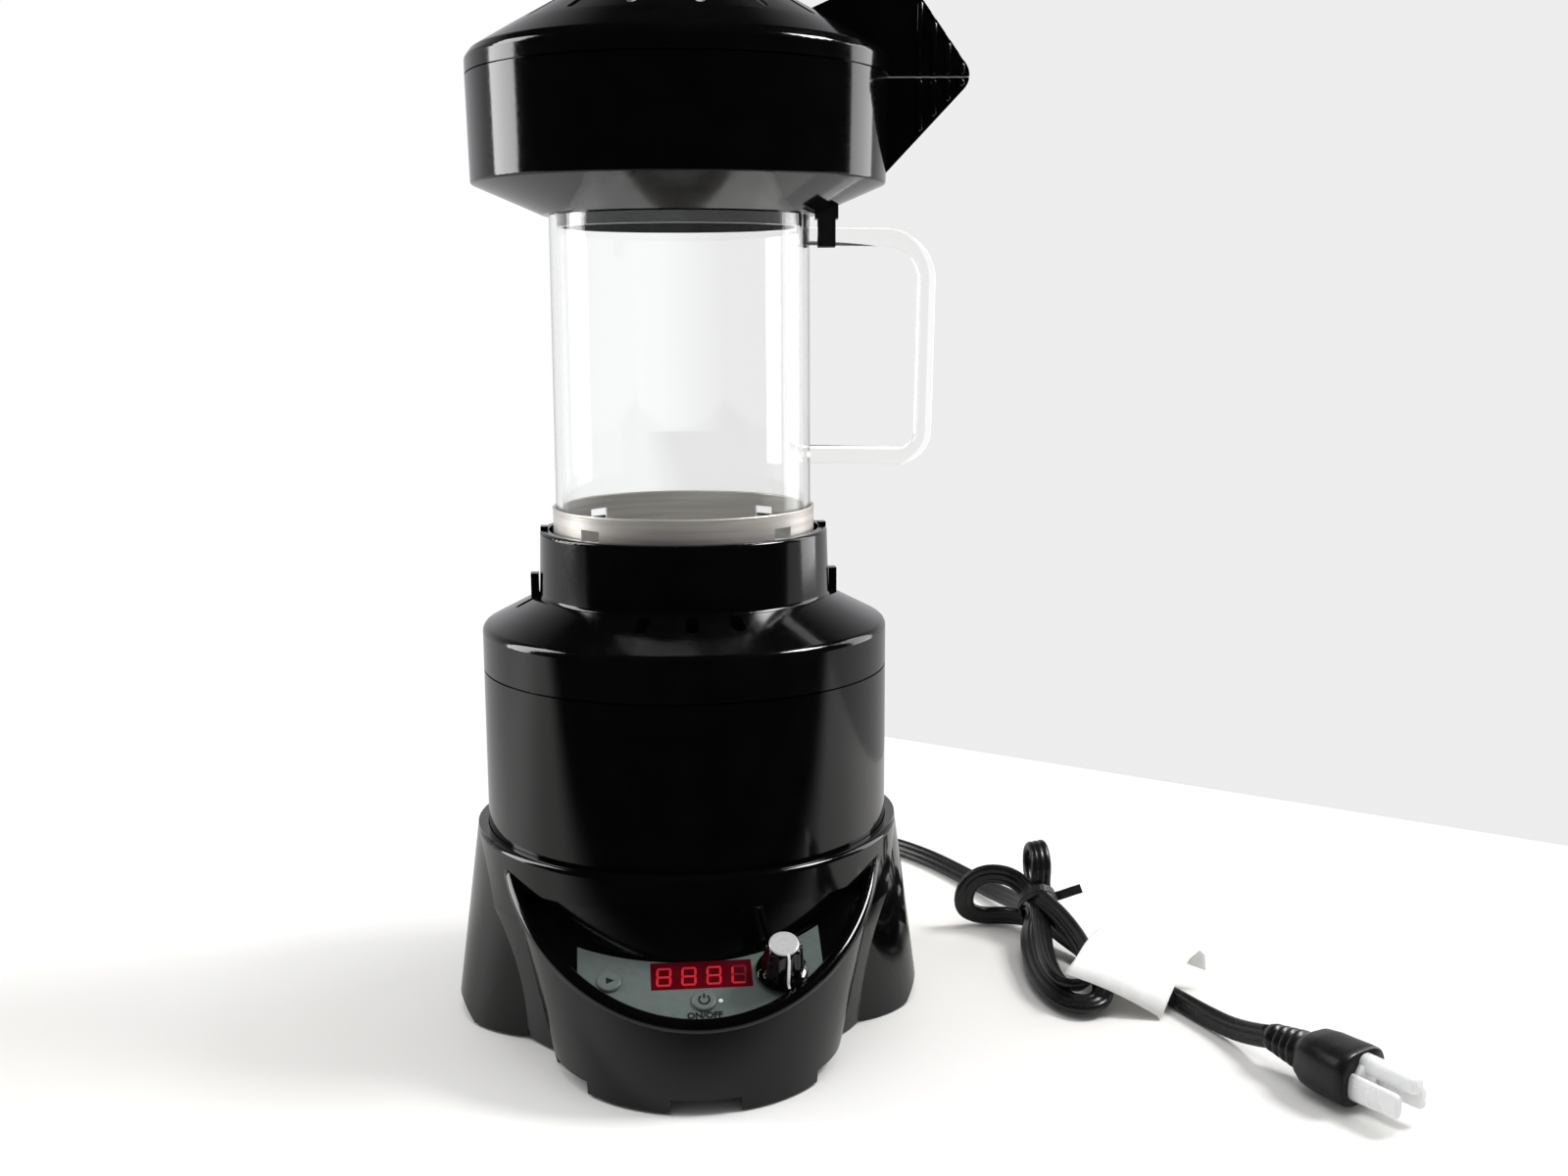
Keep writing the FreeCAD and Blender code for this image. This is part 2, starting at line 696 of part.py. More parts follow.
def glass_chamber():
    foot = SEAT_Z + SEAT_GAP + RING_WALL + SCREEN_T + GASKET_T
    glass = tube(GLASS_R, GLASS_R - GLASS_WALL, foot, GLASS_TOP_Z)
    handle = swept(handle_path(), HANDLE_ROD / 2)
    handle = handle.cut(cylinder(GLASS_R - GLASS_WALL + 0.4, 150, 320))
    return rotated(glass.fuse(handle), TURN)


def wing_outline(low, high):
    """Kite-shaped grip seen from the front, between two heights."""
    tip = V(WING_TIP_X, 0, LID_SEAM_Z)
    foot = V(BAND_FOOT_R - 1.0, 0, WING_FOOT_Z)
    peak = V(WING_PEAK_X, 0, WING_PEAK_Z)
    root = V(WING_ROOT_X, 0, WING_PEAK_Z - 15.0)
    inner_top = V(WING_ROOT_X, 0, LID_SEAM_Z)
    inner_low = V(BAND_FOOT_R - 1.0, 0, LID_SEAM_Z)
    path = Part.makePolygon([tip, peak, root, inner_top, inner_low, foot, tip])
    plate = Part.Face(path).extrude(V(0, WING_T, 0))
    plate.translate(V(0, -WING_T / 2, 0))
    tip_edges = [e for e in plate.Edges if e.BoundBox.XMin > WING_TIP_X - 0.1 and e.Length > WING_T - 0.1]
    peak_edges = [e for e in plate.Edges if e.BoundBox.ZMin > WING_PEAK_Z - 0.1 and e.Length > WING_T - 0.1]
    plate = plate.makeFillet(WING_TIP_ROUND, tip_edges + peak_edges)
    ribs = []
    for side in (-1, 1):
        for step in range(WING_RIBS):
            x = WING_RIB_X + step * WING_RIB_PITCH
            y = side * (WING_T / 2)
            ribs.append(box(x - 0.8, x + 0.8, y - WING_RIB_DEPTH, y + WING_RIB_DEPTH, 300, 400))
    plate = plate.cut(group(ribs))
    return plate.common(box(0, 200, -50, 50, low, high))


def collector_bowl():
    wall = BOWL_WALL
    seam = LID_SEAM_Z - LID_SEAM_GAP / 2
    floor_z = CONE_FOOT_Z + wall
    points = [(CHIMNEY_R, NECK_Z + 6), (NECK_R - 2.0, NECK_Z + 6), (NECK_R - 2.0, NECK_Z), (NECK_R, NECK_Z)]
    points += [(NECK_R, CONE_FOOT_Z), (CONE_FOOT_R, CONE_FOOT_Z), (BAND_FOOT_R, BAND_FOOT_Z), (BAND_R, seam)]
    points += [(BAND_R - wall, seam), (BAND_R - wall, BAND_FOOT_Z + 3.0), (CONE_FOOT_R, floor_z + 1.0)]
    points += [(CHIMNEY_R, NECK_Z + 6 + 2.0)]
    return points


def collector_shell():
    bowl = revolved(collector_bowl())
    edges = ring_edges(bowl, BAND_FOOT_R, BAND_FOOT_Z)
    bowl = bowl.makeFillet(1.2, edges)
    chimney = tube(CHIMNEY_R + 1.8, CHIMNEY_R, NECK_Z + 6, CHIMNEY_Z)
    grip = wing_outline(300, LID_SEAM_Z - LID_SEAM_GAP / 2).cut(cylinder(BAND_R - BOWL_WALL, 250, 400))
    opening = cylinder(CHIMNEY_R, 250, 400)
    return rotated(bowl.fuse(chimney).cut(opening).fuse(grip).removeSplitter(), TURN)


def handle_fork():
    """Prongs that straddle the glass handle, hung from the collector's cone."""
    gap = HANDLE_ROD / 2 + FIT
    x0 = FORK_X + 0.5
    x1 = x0 + FORK_W
    prongs = []
    for side in (-1, 1):
        y0 = side * gap
        y1 = side * (gap + FORK_T)
        prongs.append(box(x0, x1, min(y0, y1), max(y0, y1), FORK_LOW_Z, 306))
    bridge = box(x0 - 1, x1 + 1, -gap - FORK_T, gap + FORK_T, 298.5, 306)
    fork = fused(prongs + [bridge])
    above = revolved([(0, CONE_FOOT_Z), (CONE_FOOT_R, CONE_FOOT_Z), (BAND_FOOT_R, BAND_FOOT_Z), (BAND_FOOT_R, 330), (0, 330)])
    return rotated(fork.cut(above), TURN)


def collector_lid():
    wall = 2.2
    low = LID_SEAM_Z + LID_SEAM_GAP / 2
    lip = BAND_R - BOWL_WALL - 0.3
    points = [(BAND_R, low), (BAND_R, low + 5.5), (LID_RIM_R, LID_RIM_Z), (LID_SHOULDER_R, LID_SHOULDER_Z)]
    points += [(LID_TOP_R, LID_TOP_Z), (0, LID_CROWN_Z), (0, LID_CROWN_Z - wall), (LID_TOP_R, LID_TOP_Z - wall)]
    points += [(LID_SHOULDER_R, LID_SHOULDER_Z - wall), (lip - wall, LID_RIM_Z - wall), (lip - wall, low - 4.0)]
    points += [(lip, low - 4.0), (lip, low)]
    lid = revolved(points)
    edges = ring_edges(lid, LID_RIM_R, LID_RIM_Z) + ring_edges(lid, BAND_R, low + 5.5)
    lid = lid.makeFillet(2.0, edges)
    slots = []
    for step in range(LID_SLOTS):
        slot = box(LID_SLOT_IN, LID_SLOT_OUT, -LID_SLOT_W / 2, LID_SLOT_W / 2, 340, 400)
        upright = [edge for edge in slot.Edges if abs(edge.Length - 60) < EPS]
        slot = slot.makeFillet(LID_SLOT_W / 2 - 0.1, upright)
        slots.append(rotated(slot, LID_SLOT_PHASE - 90 - TURN + step * 360.0 / LID_SLOTS))
    grip = wing_outline(low, 400)
    inside = revolved([(0, 300), (lip - wall, 300), (lip - wall, LID_RIM_Z - wall),
                       (LID_SHOULDER_R, LID_SHOULDER_Z - wall), (LID_TOP_R, LID_TOP_Z - wall), (0, LID_CROWN_Z - wall)])
    whole = lid.cut(group(slots)).fuse(grip.cut(inside))
    return rotated(whole.removeSplitter(), TURN)


def lid_mesh():
    """Fine screen that keeps the chaff in, clipped up under the slots."""
    outer = LID_SHOULDER_R - 1.0
    high = LID_SHOULDER_Z - 2.2
    slope = (LID_TOP_Z - LID_SHOULDER_Z) / (LID_SHOULDER_R - LID_TOP_R)
    inner = LID_TOP_R - 1.0
    rise = (outer - inner) * slope
    points = [(outer, high), (inner, high + rise), (inner, high + rise - 0.8), (outer, high - 0.8)]
    lowered = [(r, z - 0.1) for r, z in points]
    return rotated(revolved(lowered), TURN)


def cord_gland():
    """Tapered strain relief; its collar is inside the rear foot's wall."""
    inside = GLAND_Y - GLAND_COLLAR_T
    body = Part.makeCone(GLAND_R, CORD_D / 2 + 1.1, GLAND_LEN, V(0, GLAND_Y, GLAND_Z), V(0, 1, 0))
    collar = Part.makeCylinder(GLAND_R + 2.5, GLAND_COLLAR_T, V(0, inside, GLAND_Z), V(0, 1, 0))
    return fused([body, collar])


# Route of the lead, points chosen by hand: out behind the base, round and forward to the hank
LEAD_POINTS = [
    (0.0, GLAND_Y + GLAND_LEN, GLAND_Z), (2.0, 126.0, 13.0), (10.0, 148.0, 6.5), (28.0, 168.0, 3.6),
    (54.0, 180.0, 3.6), (82.0, 178.0, 3.6), (106.0, 162.0, 3.6), (122.0, 138.0, 3.6),
    (133.0, 112.0, 3.6), (142.0, 86.0, 4.2), (149.0, 60.0, 7.0),
]
TAIL_POINTS = [
    (163.0, 17.0, 7.0), (169.0, 1.0, 5.0), (176.0, -17.0, 3.6), (184.0, -37.0, 3.6),
    (191.0, -57.0, 3.6), (196.5, -75.0, 6.0), (201.0, -90.0, 11.0),
]
TAG_LONG = 52.0
TAG_HIGH = 21.0
TAG_T = 0.7
TAG_YAW = -4.0
TAG_PLACE = (160.0, -26.0, 7.4)
HANK_W = 30.0
HANK_H = 26.0
HANK_BACK = 60.0
HANK_FRONT = -46.0
HANK_X = 151.0
HANK_ROUND = 9.0
HANK_YAW = -4.0
TIE_Y = 28.0
TIE_R = 0.9
PLUG_PLACE = (201.0, -90.0)
PLUG_YAW = -63.0
PLUG_Z = 11.5


def cord_tube(name, points):
    places = [V(*point) for point in points]
    runs = [(places[i + 1] - places[i]).Length for i in range(len(places) - 1)]
    radii = [0]
    for index in range(1, len(places) - 1):
        before = places[index - 1] - places[index]
        after = places[index + 1] - places[index]
        turn = math.pi - before.getAngle(after)
        shorter = min(runs[index - 1], runs[index])
        radii.append(0.45 * shorter / math.tan(turn / 2))
    radii.append(0)
    print(name, "bend radii", [round(radius) for radius in radii[1:-1]])
    path = rounded_path(places, radii)
    solid = swept(path, CORD_D / 2)
    expected = math.pi * CORD_D ** 2 / 4 * path.Length
    print(name, "length", round(path.Length, 1), "volume ratio", round(solid.Volume / expected, 4))
    return solid


def cord_hank():
    """Closed outer shape of the bundle of folded lead."""
    half = HANK_W / 2
    bundle = box(HANK_X - half, HANK_X + half, HANK_FRONT, HANK_BACK, 0.2, HANK_H)
    bundle = bundle.makeFillet(HANK_ROUND, bundle.Edges)
    return rotated(bundle, HANK_YAW, V(HANK_X, HANK_BACK, 0))


def plug_frame(shape):
    """Place something modelled along +X from the plug's cable end."""
    shape.rotate(V(0, 0, 0), UP, PLUG_YAW)
    shape.translate(V(PLUG_PLACE[0], PLUG_PLACE[1], 0))
    return shape


def plug_body():
    neck = Part.makeCone(4.4, 7.0, 16, V(0, 0, PLUG_Z), V(1, 0, 0))
    grooves = [Part.makeTorus(6.6, 1.0, V(4 + 3.4 * step, 0, PLUG_Z), V(1, 0, 0)) for step in range(4)]
    head = box(14, 40, -11.5, 11.5, PLUG_Z - 11.0, PLUG_Z + 9.5)
    along = [edge for edge in head.Edges if edge.Length > 5]
    head = head.makeFillet(4.0, along)
    return plug_frame(neck.fuse(head).cut(group(grooves)))


def plug_pins():
    blades = []
    for side in (-1, 1):
        blade = box(39.9, 57, side * 6.35 - 0.8, side * 6.35 + 0.8, PLUG_Z - 4.5, PLUG_Z + 1.8)
        blades.append(plug_frame(blade))
    pin = Part.makeCylinder(2.4, 20, V(39.9, 0, PLUG_Z + 5.5), V(1, 0, 0))
    return group(blades), plug_frame(pin)


def prong_cover():
    outer = box(40.2, 61.5, -10.5, 10.5, PLUG_Z - 8.5, PLUG_Z + 9.4)
    outer = outer.makeFillet(2.0, [edge for edge in outer.Edges if edge.Length > 15])
    inner = box(39, 60.4, -9.3, 9.3, PLUG_Z - 7.3, PLUG_Z + 8.2)
    return plug_frame(outer.cut(inner))


def cord_tag():
    """Folded blank paper tag that wraps the lead in front of the hank."""
    sheet = box(0, TAG_LONG, -TAG_T / 2, TAG_T / 2, 0, TAG_HIGH)
    sheet.rotate(V(0, 0, 0), UP, TAG_YAW)
    sheet.translate(V(*TAG_PLACE))
    return sheet


def twist_tie():
    """Flat wire tie round the bundle, with one free end."""
    half = HANK_W / 2 + TIE_R
    loop = Part.makePolygon([
        V(-half, 0, 0.2), V(half, 0, 0.2), V(half, 0, HANK_H + 1), V(-half, 0, HANK_H + 1), V(-half, 0, 0.2)
    ])
    outer = Part.Face(loop).extrude(V(0, 2 * TIE_R, 0))
    inner = box(-HANK_W / 2 + 0.2, HANK_W / 2 - 0.2, -1, 5, 0.9, HANK_H + 0.1)
    band = outer.cut(inner)
    tail = Part.makeCylinder(TIE_R, 20, V(half - 2, TIE_R, HANK_H), V(1, 0.35, 0.1))
    tie = band.fuse(tail).removeSplitter()
    tie.translate(V(HANK_X, TIE_Y, 0))
    return rotated(tie, HANK_YAW, V(HANK_X, HANK_BACK, 0))


def export(name, shape):
    shape.exportStep(os.path.join("parts", name + ".step"))


def base_parts():
    front, rear = skirt_shells()
    blades, pin = plug_pins()
    lead = cord_tube("cord_lead", LEAD_POINTS)
    tail = cord_tube("cord_tail", TAIL_POINTS)
    return {
        "control_housing": front,
        "rear_skirt": rear,
        "main_housing": main_housing(),
        "shoulder_cover": shoulder_cover(),
        "bottom_cover": bottom_cover().multiFuse(board_posts()),
        "rubber_feet": rubber_feet(),
        "bottom_screws": bottom_screws(),
        "motor_mount": motor_mount(),
        "motor_can": motor_can(),
        "fan_housing": fan_housing(),
        "heater_tube": heater_tube(),
        "heater_frame": heater_frame_slotted(),
        "heater_coil": heater_coil(),
        "thermal_fuse": thermal_fuse(),
        "power_board": power_board(),
        "control_board": control_board(),
        "display_module": display_module(),
        "display_window": display_window(),
        "encoder_body": encoder_body(),
        "panel_overlay": panel_overlay(),
        "cord_gland": cord_gland(),
        "cord_lead": lead,
        "cord_hank": cord_hank(),
        "cord_tail": tail,
        "twist_tie": twist_tie(),
        "cord_tag": cord_tag(),
        "plug_body": plug_body(),
        "plug_blades": blades,
        "plug_ground_pin": pin,
        "prong_cover": prong_cover(),
    }


def moving_parts():
    return {
        "motor_shaft": motor_shaft(),
        "impeller": impeller(),
        "encoder_shaft": encoder_shaft(),
        "knob_body": knob_body(),
        "knob_disc": knob_disc(),
        "run_button": push_button(RUN_X, RUN_SLOPE),
        "power_button": push_button(POWER_X, POWER_SLOPE),
        "glass_chamber": glass_chamber(),
        "chamber_ring": chamber_ring(),
        "chamber_screen": chamber_screen(),
        "chamber_gasket": chamber_gasket(),
        "collector_bowl": collector_shell(),
        "handle_fork": handle_fork(),
        "collector_lid": collector_lid(),
        "lid_mesh": lid_mesh(),
    }


def main():
    os.makedirs("parts", exist_ok=True)
    parts = base_parts()
    parts.update(moving_parts())
    for name, shape in parts.items():
        export(name, shape)
        if not shape.isValid():
            print("not valid:", name)
        if len(shape.Solids) > 1:
            print(name, "solids", len(shape.Solids))


main()
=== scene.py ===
import math

import bmesh
import bpy
from mathutils import Matrix, Vector


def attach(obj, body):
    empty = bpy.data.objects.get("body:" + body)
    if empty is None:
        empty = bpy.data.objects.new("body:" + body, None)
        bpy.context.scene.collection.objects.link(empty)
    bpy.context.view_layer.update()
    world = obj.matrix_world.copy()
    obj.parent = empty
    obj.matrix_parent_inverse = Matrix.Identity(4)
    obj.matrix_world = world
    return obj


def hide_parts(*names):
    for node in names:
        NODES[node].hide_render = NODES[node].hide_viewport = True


# Home coffee bean roaster, dressed for the photograph's view. Sizes below are millimetres
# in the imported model's own frame and are turned into metres by MM.
MM = 0.001
FULL_TURN = 2 * math.pi

# Control panel plane and what is printed on it
TILT = math.radians(30.0)
PANEL_EDGE = Vector((0.0, -101.0, 30.3)) * MM
PANEL = Matrix.Translation(PANEL_EDGE) @ Matrix.Rotation(TILT, 4, "X")
OVERLAY_T = 0.5
PRINT_T = 0.06
PRINT_LIFT = 0.02
DISPLAY = (0.0, 20.6)
DIGIT_PITCH = 8.6
DIGIT_DROP = -0.5
DIGIT_W = 5.3
DIGIT_H = 7.8
DIGIT_BAR = 0.85
DIGIT_GAP = 0.18
DIGIT_POINT = 0.8
DIGIT_LEAN = 0.05
# Bars of a digit, and those that are lit in each
SEGMENTS = ("top", "mid", "low", "top_left", "top_right", "low_left", "low_right")
SHOWN = (SEGMENTS, SEGMENTS, SEGMENTS, ("low", "top_left", "low_left"))

# Keys, their marks and the indicator
RUN = (-31.5, 19.0)
POWER = (0.3, 9.4)
BUTTON_TOP = 1.6
MARK_SINK = 0.05
PLAY_BACK = 1.1
PLAY_FRONT = 1.7
PLAY_HALF_H = 1.4
POWER_ARC_R = 1.8
POWER_ARC_START = math.radians(125)
POWER_ARC_TURN = math.radians(290)
POWER_ARC_POINTS = 30
POWER_STROKE = 0.6
POWER_BAR = (0.5, 2.5)
WORD_DROP = 5.7
WORD_SIZE = 3.3
WORD_T = 0.03
WORD_WEIGHT = 0.1
LED = (5.9, 9.2)
LED_R = 0.95
LED_RISE = 0.6
LED_RINGS = (0.0, 0.35, 0.65, 0.85, 0.97)
LED_POINTS = 20

# Knob: its profile gives radius, rise and depth of scallop, its mark radius and rise
KNOB = (27.6, 19.4)
KNOB_FOOT = 1.7
KNOB_R = 7.4
KNOB_TOP = 16.7
KNOB_SKIRT_R = 9.0
KNOB_FLUTES = 10
KNOB_FLUTE_POINTS = 12
KNOB_FLUTE_SHAPE = 0.7
KNOB_DISC_R = 5.1
KNOB_PROFILE = [
    (6.0, KNOB_FOOT, 0), (KNOB_SKIRT_R - 0.2, KNOB_FOOT, 0), (KNOB_SKIRT_R, KNOB_FOOT + 0.3, 0),
    (KNOB_SKIRT_R, KNOB_FOOT + 1.2, 0), (KNOB_SKIRT_R - 0.4, KNOB_FOOT + 1.6, 0),
    (KNOB_R + 0.2, KNOB_FOOT + 1.9, 0), (KNOB_R, KNOB_FOOT + 2.2, 0.9), (KNOB_R - 0.1, KNOB_FOOT + 3.0, 1.0),
    (KNOB_R - 0.9, KNOB_TOP - 1.2, 1.0), (KNOB_R - 1.1, KNOB_TOP - 0.7, 0.8),
    (KNOB_DISC_R + 0.35, KNOB_TOP - 0.1, 0.1), (KNOB_DISC_R + 0.1, KNOB_TOP - 0.1, 0),
    (KNOB_DISC_R + 0.05, KNOB_TOP - 0.5, 0),
]
KNOB_MARK_ANGLE = math.radians(-78.0)
KNOB_MARK_HALF_W = 0.45
KNOB_MARK = [
    (KNOB_DISC_R - 0.3, KNOB_TOP + 0.32), (KNOB_DISC_R + 0.5, KNOB_TOP + 0.02),
    (KNOB_R - 0.95, KNOB_TOP - 1.2), (KNOB_R + 0.02, KNOB_FOOT + 2.6), (KNOB_R + 0.5, KNOB_FOOT + 1.95),
    (KNOB_SKIRT_R - 0.3, KNOB_FOOT + 1.6), (KNOB_SKIRT_R - 0.8, KNOB_FOOT + 1.2),
    (KNOB_R - 1.6, KNOB_FOOT + 2.2), (KNOB_R - 2.4, KNOB_TOP - 0.6),
]
DISC_FOOT = KNOB_TOP - 0.5
DISC_SHOULDER = KNOB_TOP + 0.15
DISC_FACE = KNOB_TOP + 0.3
DISC_BEVEL = 0.25
DISC_GROOVES = 24
DISC_GROOVE_DEPTH = 0.025
DISC_POINTS = 96

# Control pod's wall and the sheet in its tray
POD_FRONT = 105.0
POD_FOOT_R = 51.0
POD_TOP_R = 67.0
POD_FOOT_Z = 1.0
POD_TOP_Z = 62.0
POD_REACH_Z = 12.0
POD_STEPS = 90
POD_HALVINGS = 30
RIM_BEAD_IN = 1.9
RIM_BEAD_RISE = 1.5
RIM_BEAD_R = 2.6
RIM_BEAD_ENDS_R = 77.5
RIM_BEAD_POINTS = 16
OVERLAY_LEFT = -43.0
OVERLAY_RIGHT = 43.5
OVERLAY_ENDS_R = 79.4
OVERLAY_WALL_R = 78.6
OVERLAY_DROP = 5.5
OVERLAY_GAP = 0.2
OVERLAY_FOOT = 0.02
OVERLAY_BELOW = 0.08
OVERLAY_STEPS = 40

# Chamber ring and the collector's grip
CHAMBER_TURN = math.radians(-6.0)
RING_R = 48.5
RING_TOP_Z = 193.4
RING_LIP_R = 0.55
RING_LIP_SINK = 0.1
RING_LIP_POINTS = 10
RING_POINTS = 120
LID_SEAM_Z = 348.0
WING_T = 9.0
WING_RIBS = 4
WING_RIB_R = 1.3
WING_RIB_X = 87.0
WING_RIB_PITCH = 5.0
WING_RIB_MARGIN = 2.0
WING_RIB_SEAM_GAP = 0.6
WING_RIB_END = 0.8
WING_RIB_TAPER = 0.5
WING_RIB_POINTS = 12
WING_PEAK = (80.0, 386.0)
WING_TOP_SLOPE = 1.407
WING_FOOT = (74.2, 313.6)
WING_FOOT_SLOPE = 1.049

# Camera
CAMERA_PLACE = Vector((-28.99, -635.66, 267.97)) * MM
CAMERA_DOWN = math.radians(9.51)
CAMERA_TURN = math.radians(-6.0)
CAMERA_ROLL = math.radians(-0.24)
LENS = 38.95
SENSOR = 36.0
CAMERA_NEAR = 0.01

# Backdrop, in metres: the line of the wall's foot on the floor, and the colours behind the object
WALL_FACING = (0.6448, 0.7644)
WALL_DISTANCE = 0.3832
WALL_LINE = (0.0, 0.004)
WALL_LINE_FROM = (0.0, 0.02)
WALL_SOFT = (-0.05, 0.45)
WALL_LEFT = (1.0, 1.0, 1.0)
WALL_RIGHT = (0.86, 0.85, 0.85)
WALL_TURN_LOW = (0.02, 0.1)
WALL_TURN_HIGH = (0.03, 0.08)
FLOOR_HALF = 3.0
FLOOR_GRAIN = 3.0
FLOOR_COLOURS = ((0.80, 0.785, 0.75), (0.86, 0.85, 0.83))
FLOOR_ROUGH = 0.55
WORLD_COLOUR = (0.95, 0.97, 1.0)
WORLD_STRENGTH = 0.38

# What reflections show in place of the backdrop: the world's dark and light room, and the floor's painted
# dark reflection in front of the object
REFLECTED_DARK = (0.003, 0.003, 0.0032)
ROOM_LIGHT = (0.6, 0.6, 0.62)
ROOM_TURN = (0.1, 0.75)
MIRROR_DIM = 0.8
MIRROR_DIM_FROM = (0.1, 0.22)
CEILING_DIM = 0.8

# Lamps, in metres: name, place, target, size, power and whether reflections show it
LAMPS = [
    ("key", (0.95, -0.05, 1.15), (0, 0, 0.15), (0.4, 0.4), 15.0, True),
    ("left_window", (-1.05, 0.3, 0.6), (0, 0, 0.2), (0.45, 1.1), 10.0, True),
    ("right_wall", (1.1, 0.45, 0.45), (0, 0, 0.2), (0.5, 0.9), 4.0, True),
    ("ceiling", (-0.1, -0.1, 1.6), (0, 0, 0), (1.2, 1.2), 12.0, False),
]

# Mains lead: one flat three-core cord from the gland through the tied bundle to the plug
CORD_CORE_R = 1.9
CORD_CORE_STEP = 2.3
CORD_RESOLUTION = 14
CORD_POINTS = 40
LEAD = [
    (0, 104, 16), (2, 126, 13), (10, 148, 6.5), (28, 168, 4.4), (54, 180, 4.3), (82, 178, 4.3),
    (106, 162, 4.3), (122, 138, 4.3), (133, 112, 4.3), (142, 86, 5), (148, 62, 8), (150, 42, 12),
]
BUNDLE = [
    (141, 20, 10), (137, -6, 6), (138, -28, 5), (144, -42, 5), (154, -42, 6), (159, -28, 8),
    (158, -6, 11), (156, 16, 13), (152, 34, 15), (151.5, 42, 22), (152, 41, 33), (152, 50, 39),
    (152, 59, 34), (151.5, 56, 23), (151, 42, 16), (147, 22, 15), (142, -2, 12), (140, -22, 10.5),
    (143, -33, 9), (151, -34, 10), (155.5, -22, 12.5), (156, -4, 15), (154, 12, 18), (151, 28, 19.5),
    (147, 41, 20), (141, 49, 25), (130, 52, 26), (122, 54, 20), (121, 56, 9), (129, 58, 4.3),
    (139, 57, 4.6), (146, 49, 6.5), (151, 38, 9), (157, 24, 6.5),
]
TAIL = [
    (163, 10, 4.6), (169, -4, 4.3), (176, -17, 4.3), (184, -37, 4.3), (191, -57, 4.3),
    (196.5, -75, 6), (201, -90, 11),
]
CORD_START_UP = Vector((-0.23, 0.0, 0.97))
CORD_TWIST = math.radians(-165.0)
PLUG_PLACE = (201.0, -90.0)
PLUG_YAW = math.radians(-63.0)
PLUG_Z = 11.5

# Paper label: its left and right edges, from the front foot over the ridge to the free rear edge
TAG_LEFT = [
    (141, -36, 15.5), (147, -29.5, 18.5), (153, -21, 21), (159, -13, 22.3), (164, -7, 22), (167, -3.5, 19),
    (168, -1.5, 13),
]
TAG_RIGHT = [
    (175.5, -48.5, 1.2), (181, -41.5, 6.5), (187, -34, 11.5), (193.5, -27, 15.5), (199, -22.5, 17),
    (202, -20.5, 14), (202.5, -20.5, 7.5),
]
TAG_T = 0.35
TAG_BELLY = 1.4
TAG_COLUMNS = 24

# Wire tie: one end left long past the last turn
TIE_CENTRE = Vector((150.5, 42.0, 15.5))
TIE_ACROSS = Vector((7.6, 0.0, 0.0))
TIE_OVER = Vector((0.0, -7.2, 8.0))
TIE_ALONG = Vector((0.0, 0.7, 0.7))
TIE_TURNS = 2.5
TIE_ADVANCE = 4.0
TIE_STEPS = 75
TIE_END = [(160.5, 41, 18.5), (164.5, 40.5, 20), (169, 40, 21.5)]
TIE_SECTION = [(-1.7, -0.45), (1.7, -0.45), (2.0, 0.0), (1.7, 0.45), (-1.7, 0.45), (-2.0, 0.0)]

# Plug: distance along it, half width and half height of each station
PLUG_START = (0.0, 4.3, 4.3)
PLUG_RIB = [(2.0, 5.2, 5.0), (3.7, 5.4, 5.2), (4.0, 4.4, 4.2), (5.1, 4.5, 4.3)]
PLUG_RIBS = 4
PLUG_RIB_PITCH = 3.4
PLUG_RIB_GROW = 0.55
PLUG_BODY = [
    (16.5, 7.6, 7.2), (20.0, 9.2, 9.3), (25.0, 10.6, 9.7), (30.0, 11.0, 9.6), (36.0, 11.4, 9.7),
    (39.2, 11.3, 9.6), (40.0, 10.6, 9.0),
]
PLUG_BODY_SHAPE = 0.625
PLUG_POINTS = 40

# Pin sleeves: across, up, half width, half height and reach. They narrow by shares: at distances
# along the plug near the foot, and at distances back from the reach at the tip.
SLEEVES = [(-6.35, -1.3, 2.0, 4.6, 59.0), (6.35, -1.3, 2.0, 4.6, 59.0), (0.0, 5.5, 3.4, 3.4, 61.3)]
SLEEVE_FOOT = [(40.3, 1.0), (46.0, 0.98)]
SLEEVE_TIP = [(1.2, 0.93), (0.3, 0.8), (0.0, 0.45)]
SLEEVE_SHAPE = 0.85
SLEEVE_POINTS = 44
SLEEVE_WEB = [(-6.3, -5.2), (6.3, -5.2), (6.3, 1.6), (2.4, 7.4), (-2.4, 7.4), (-6.3, 1.6)]
SLEEVE_WEB_SPAN = (40.25, 42.6)

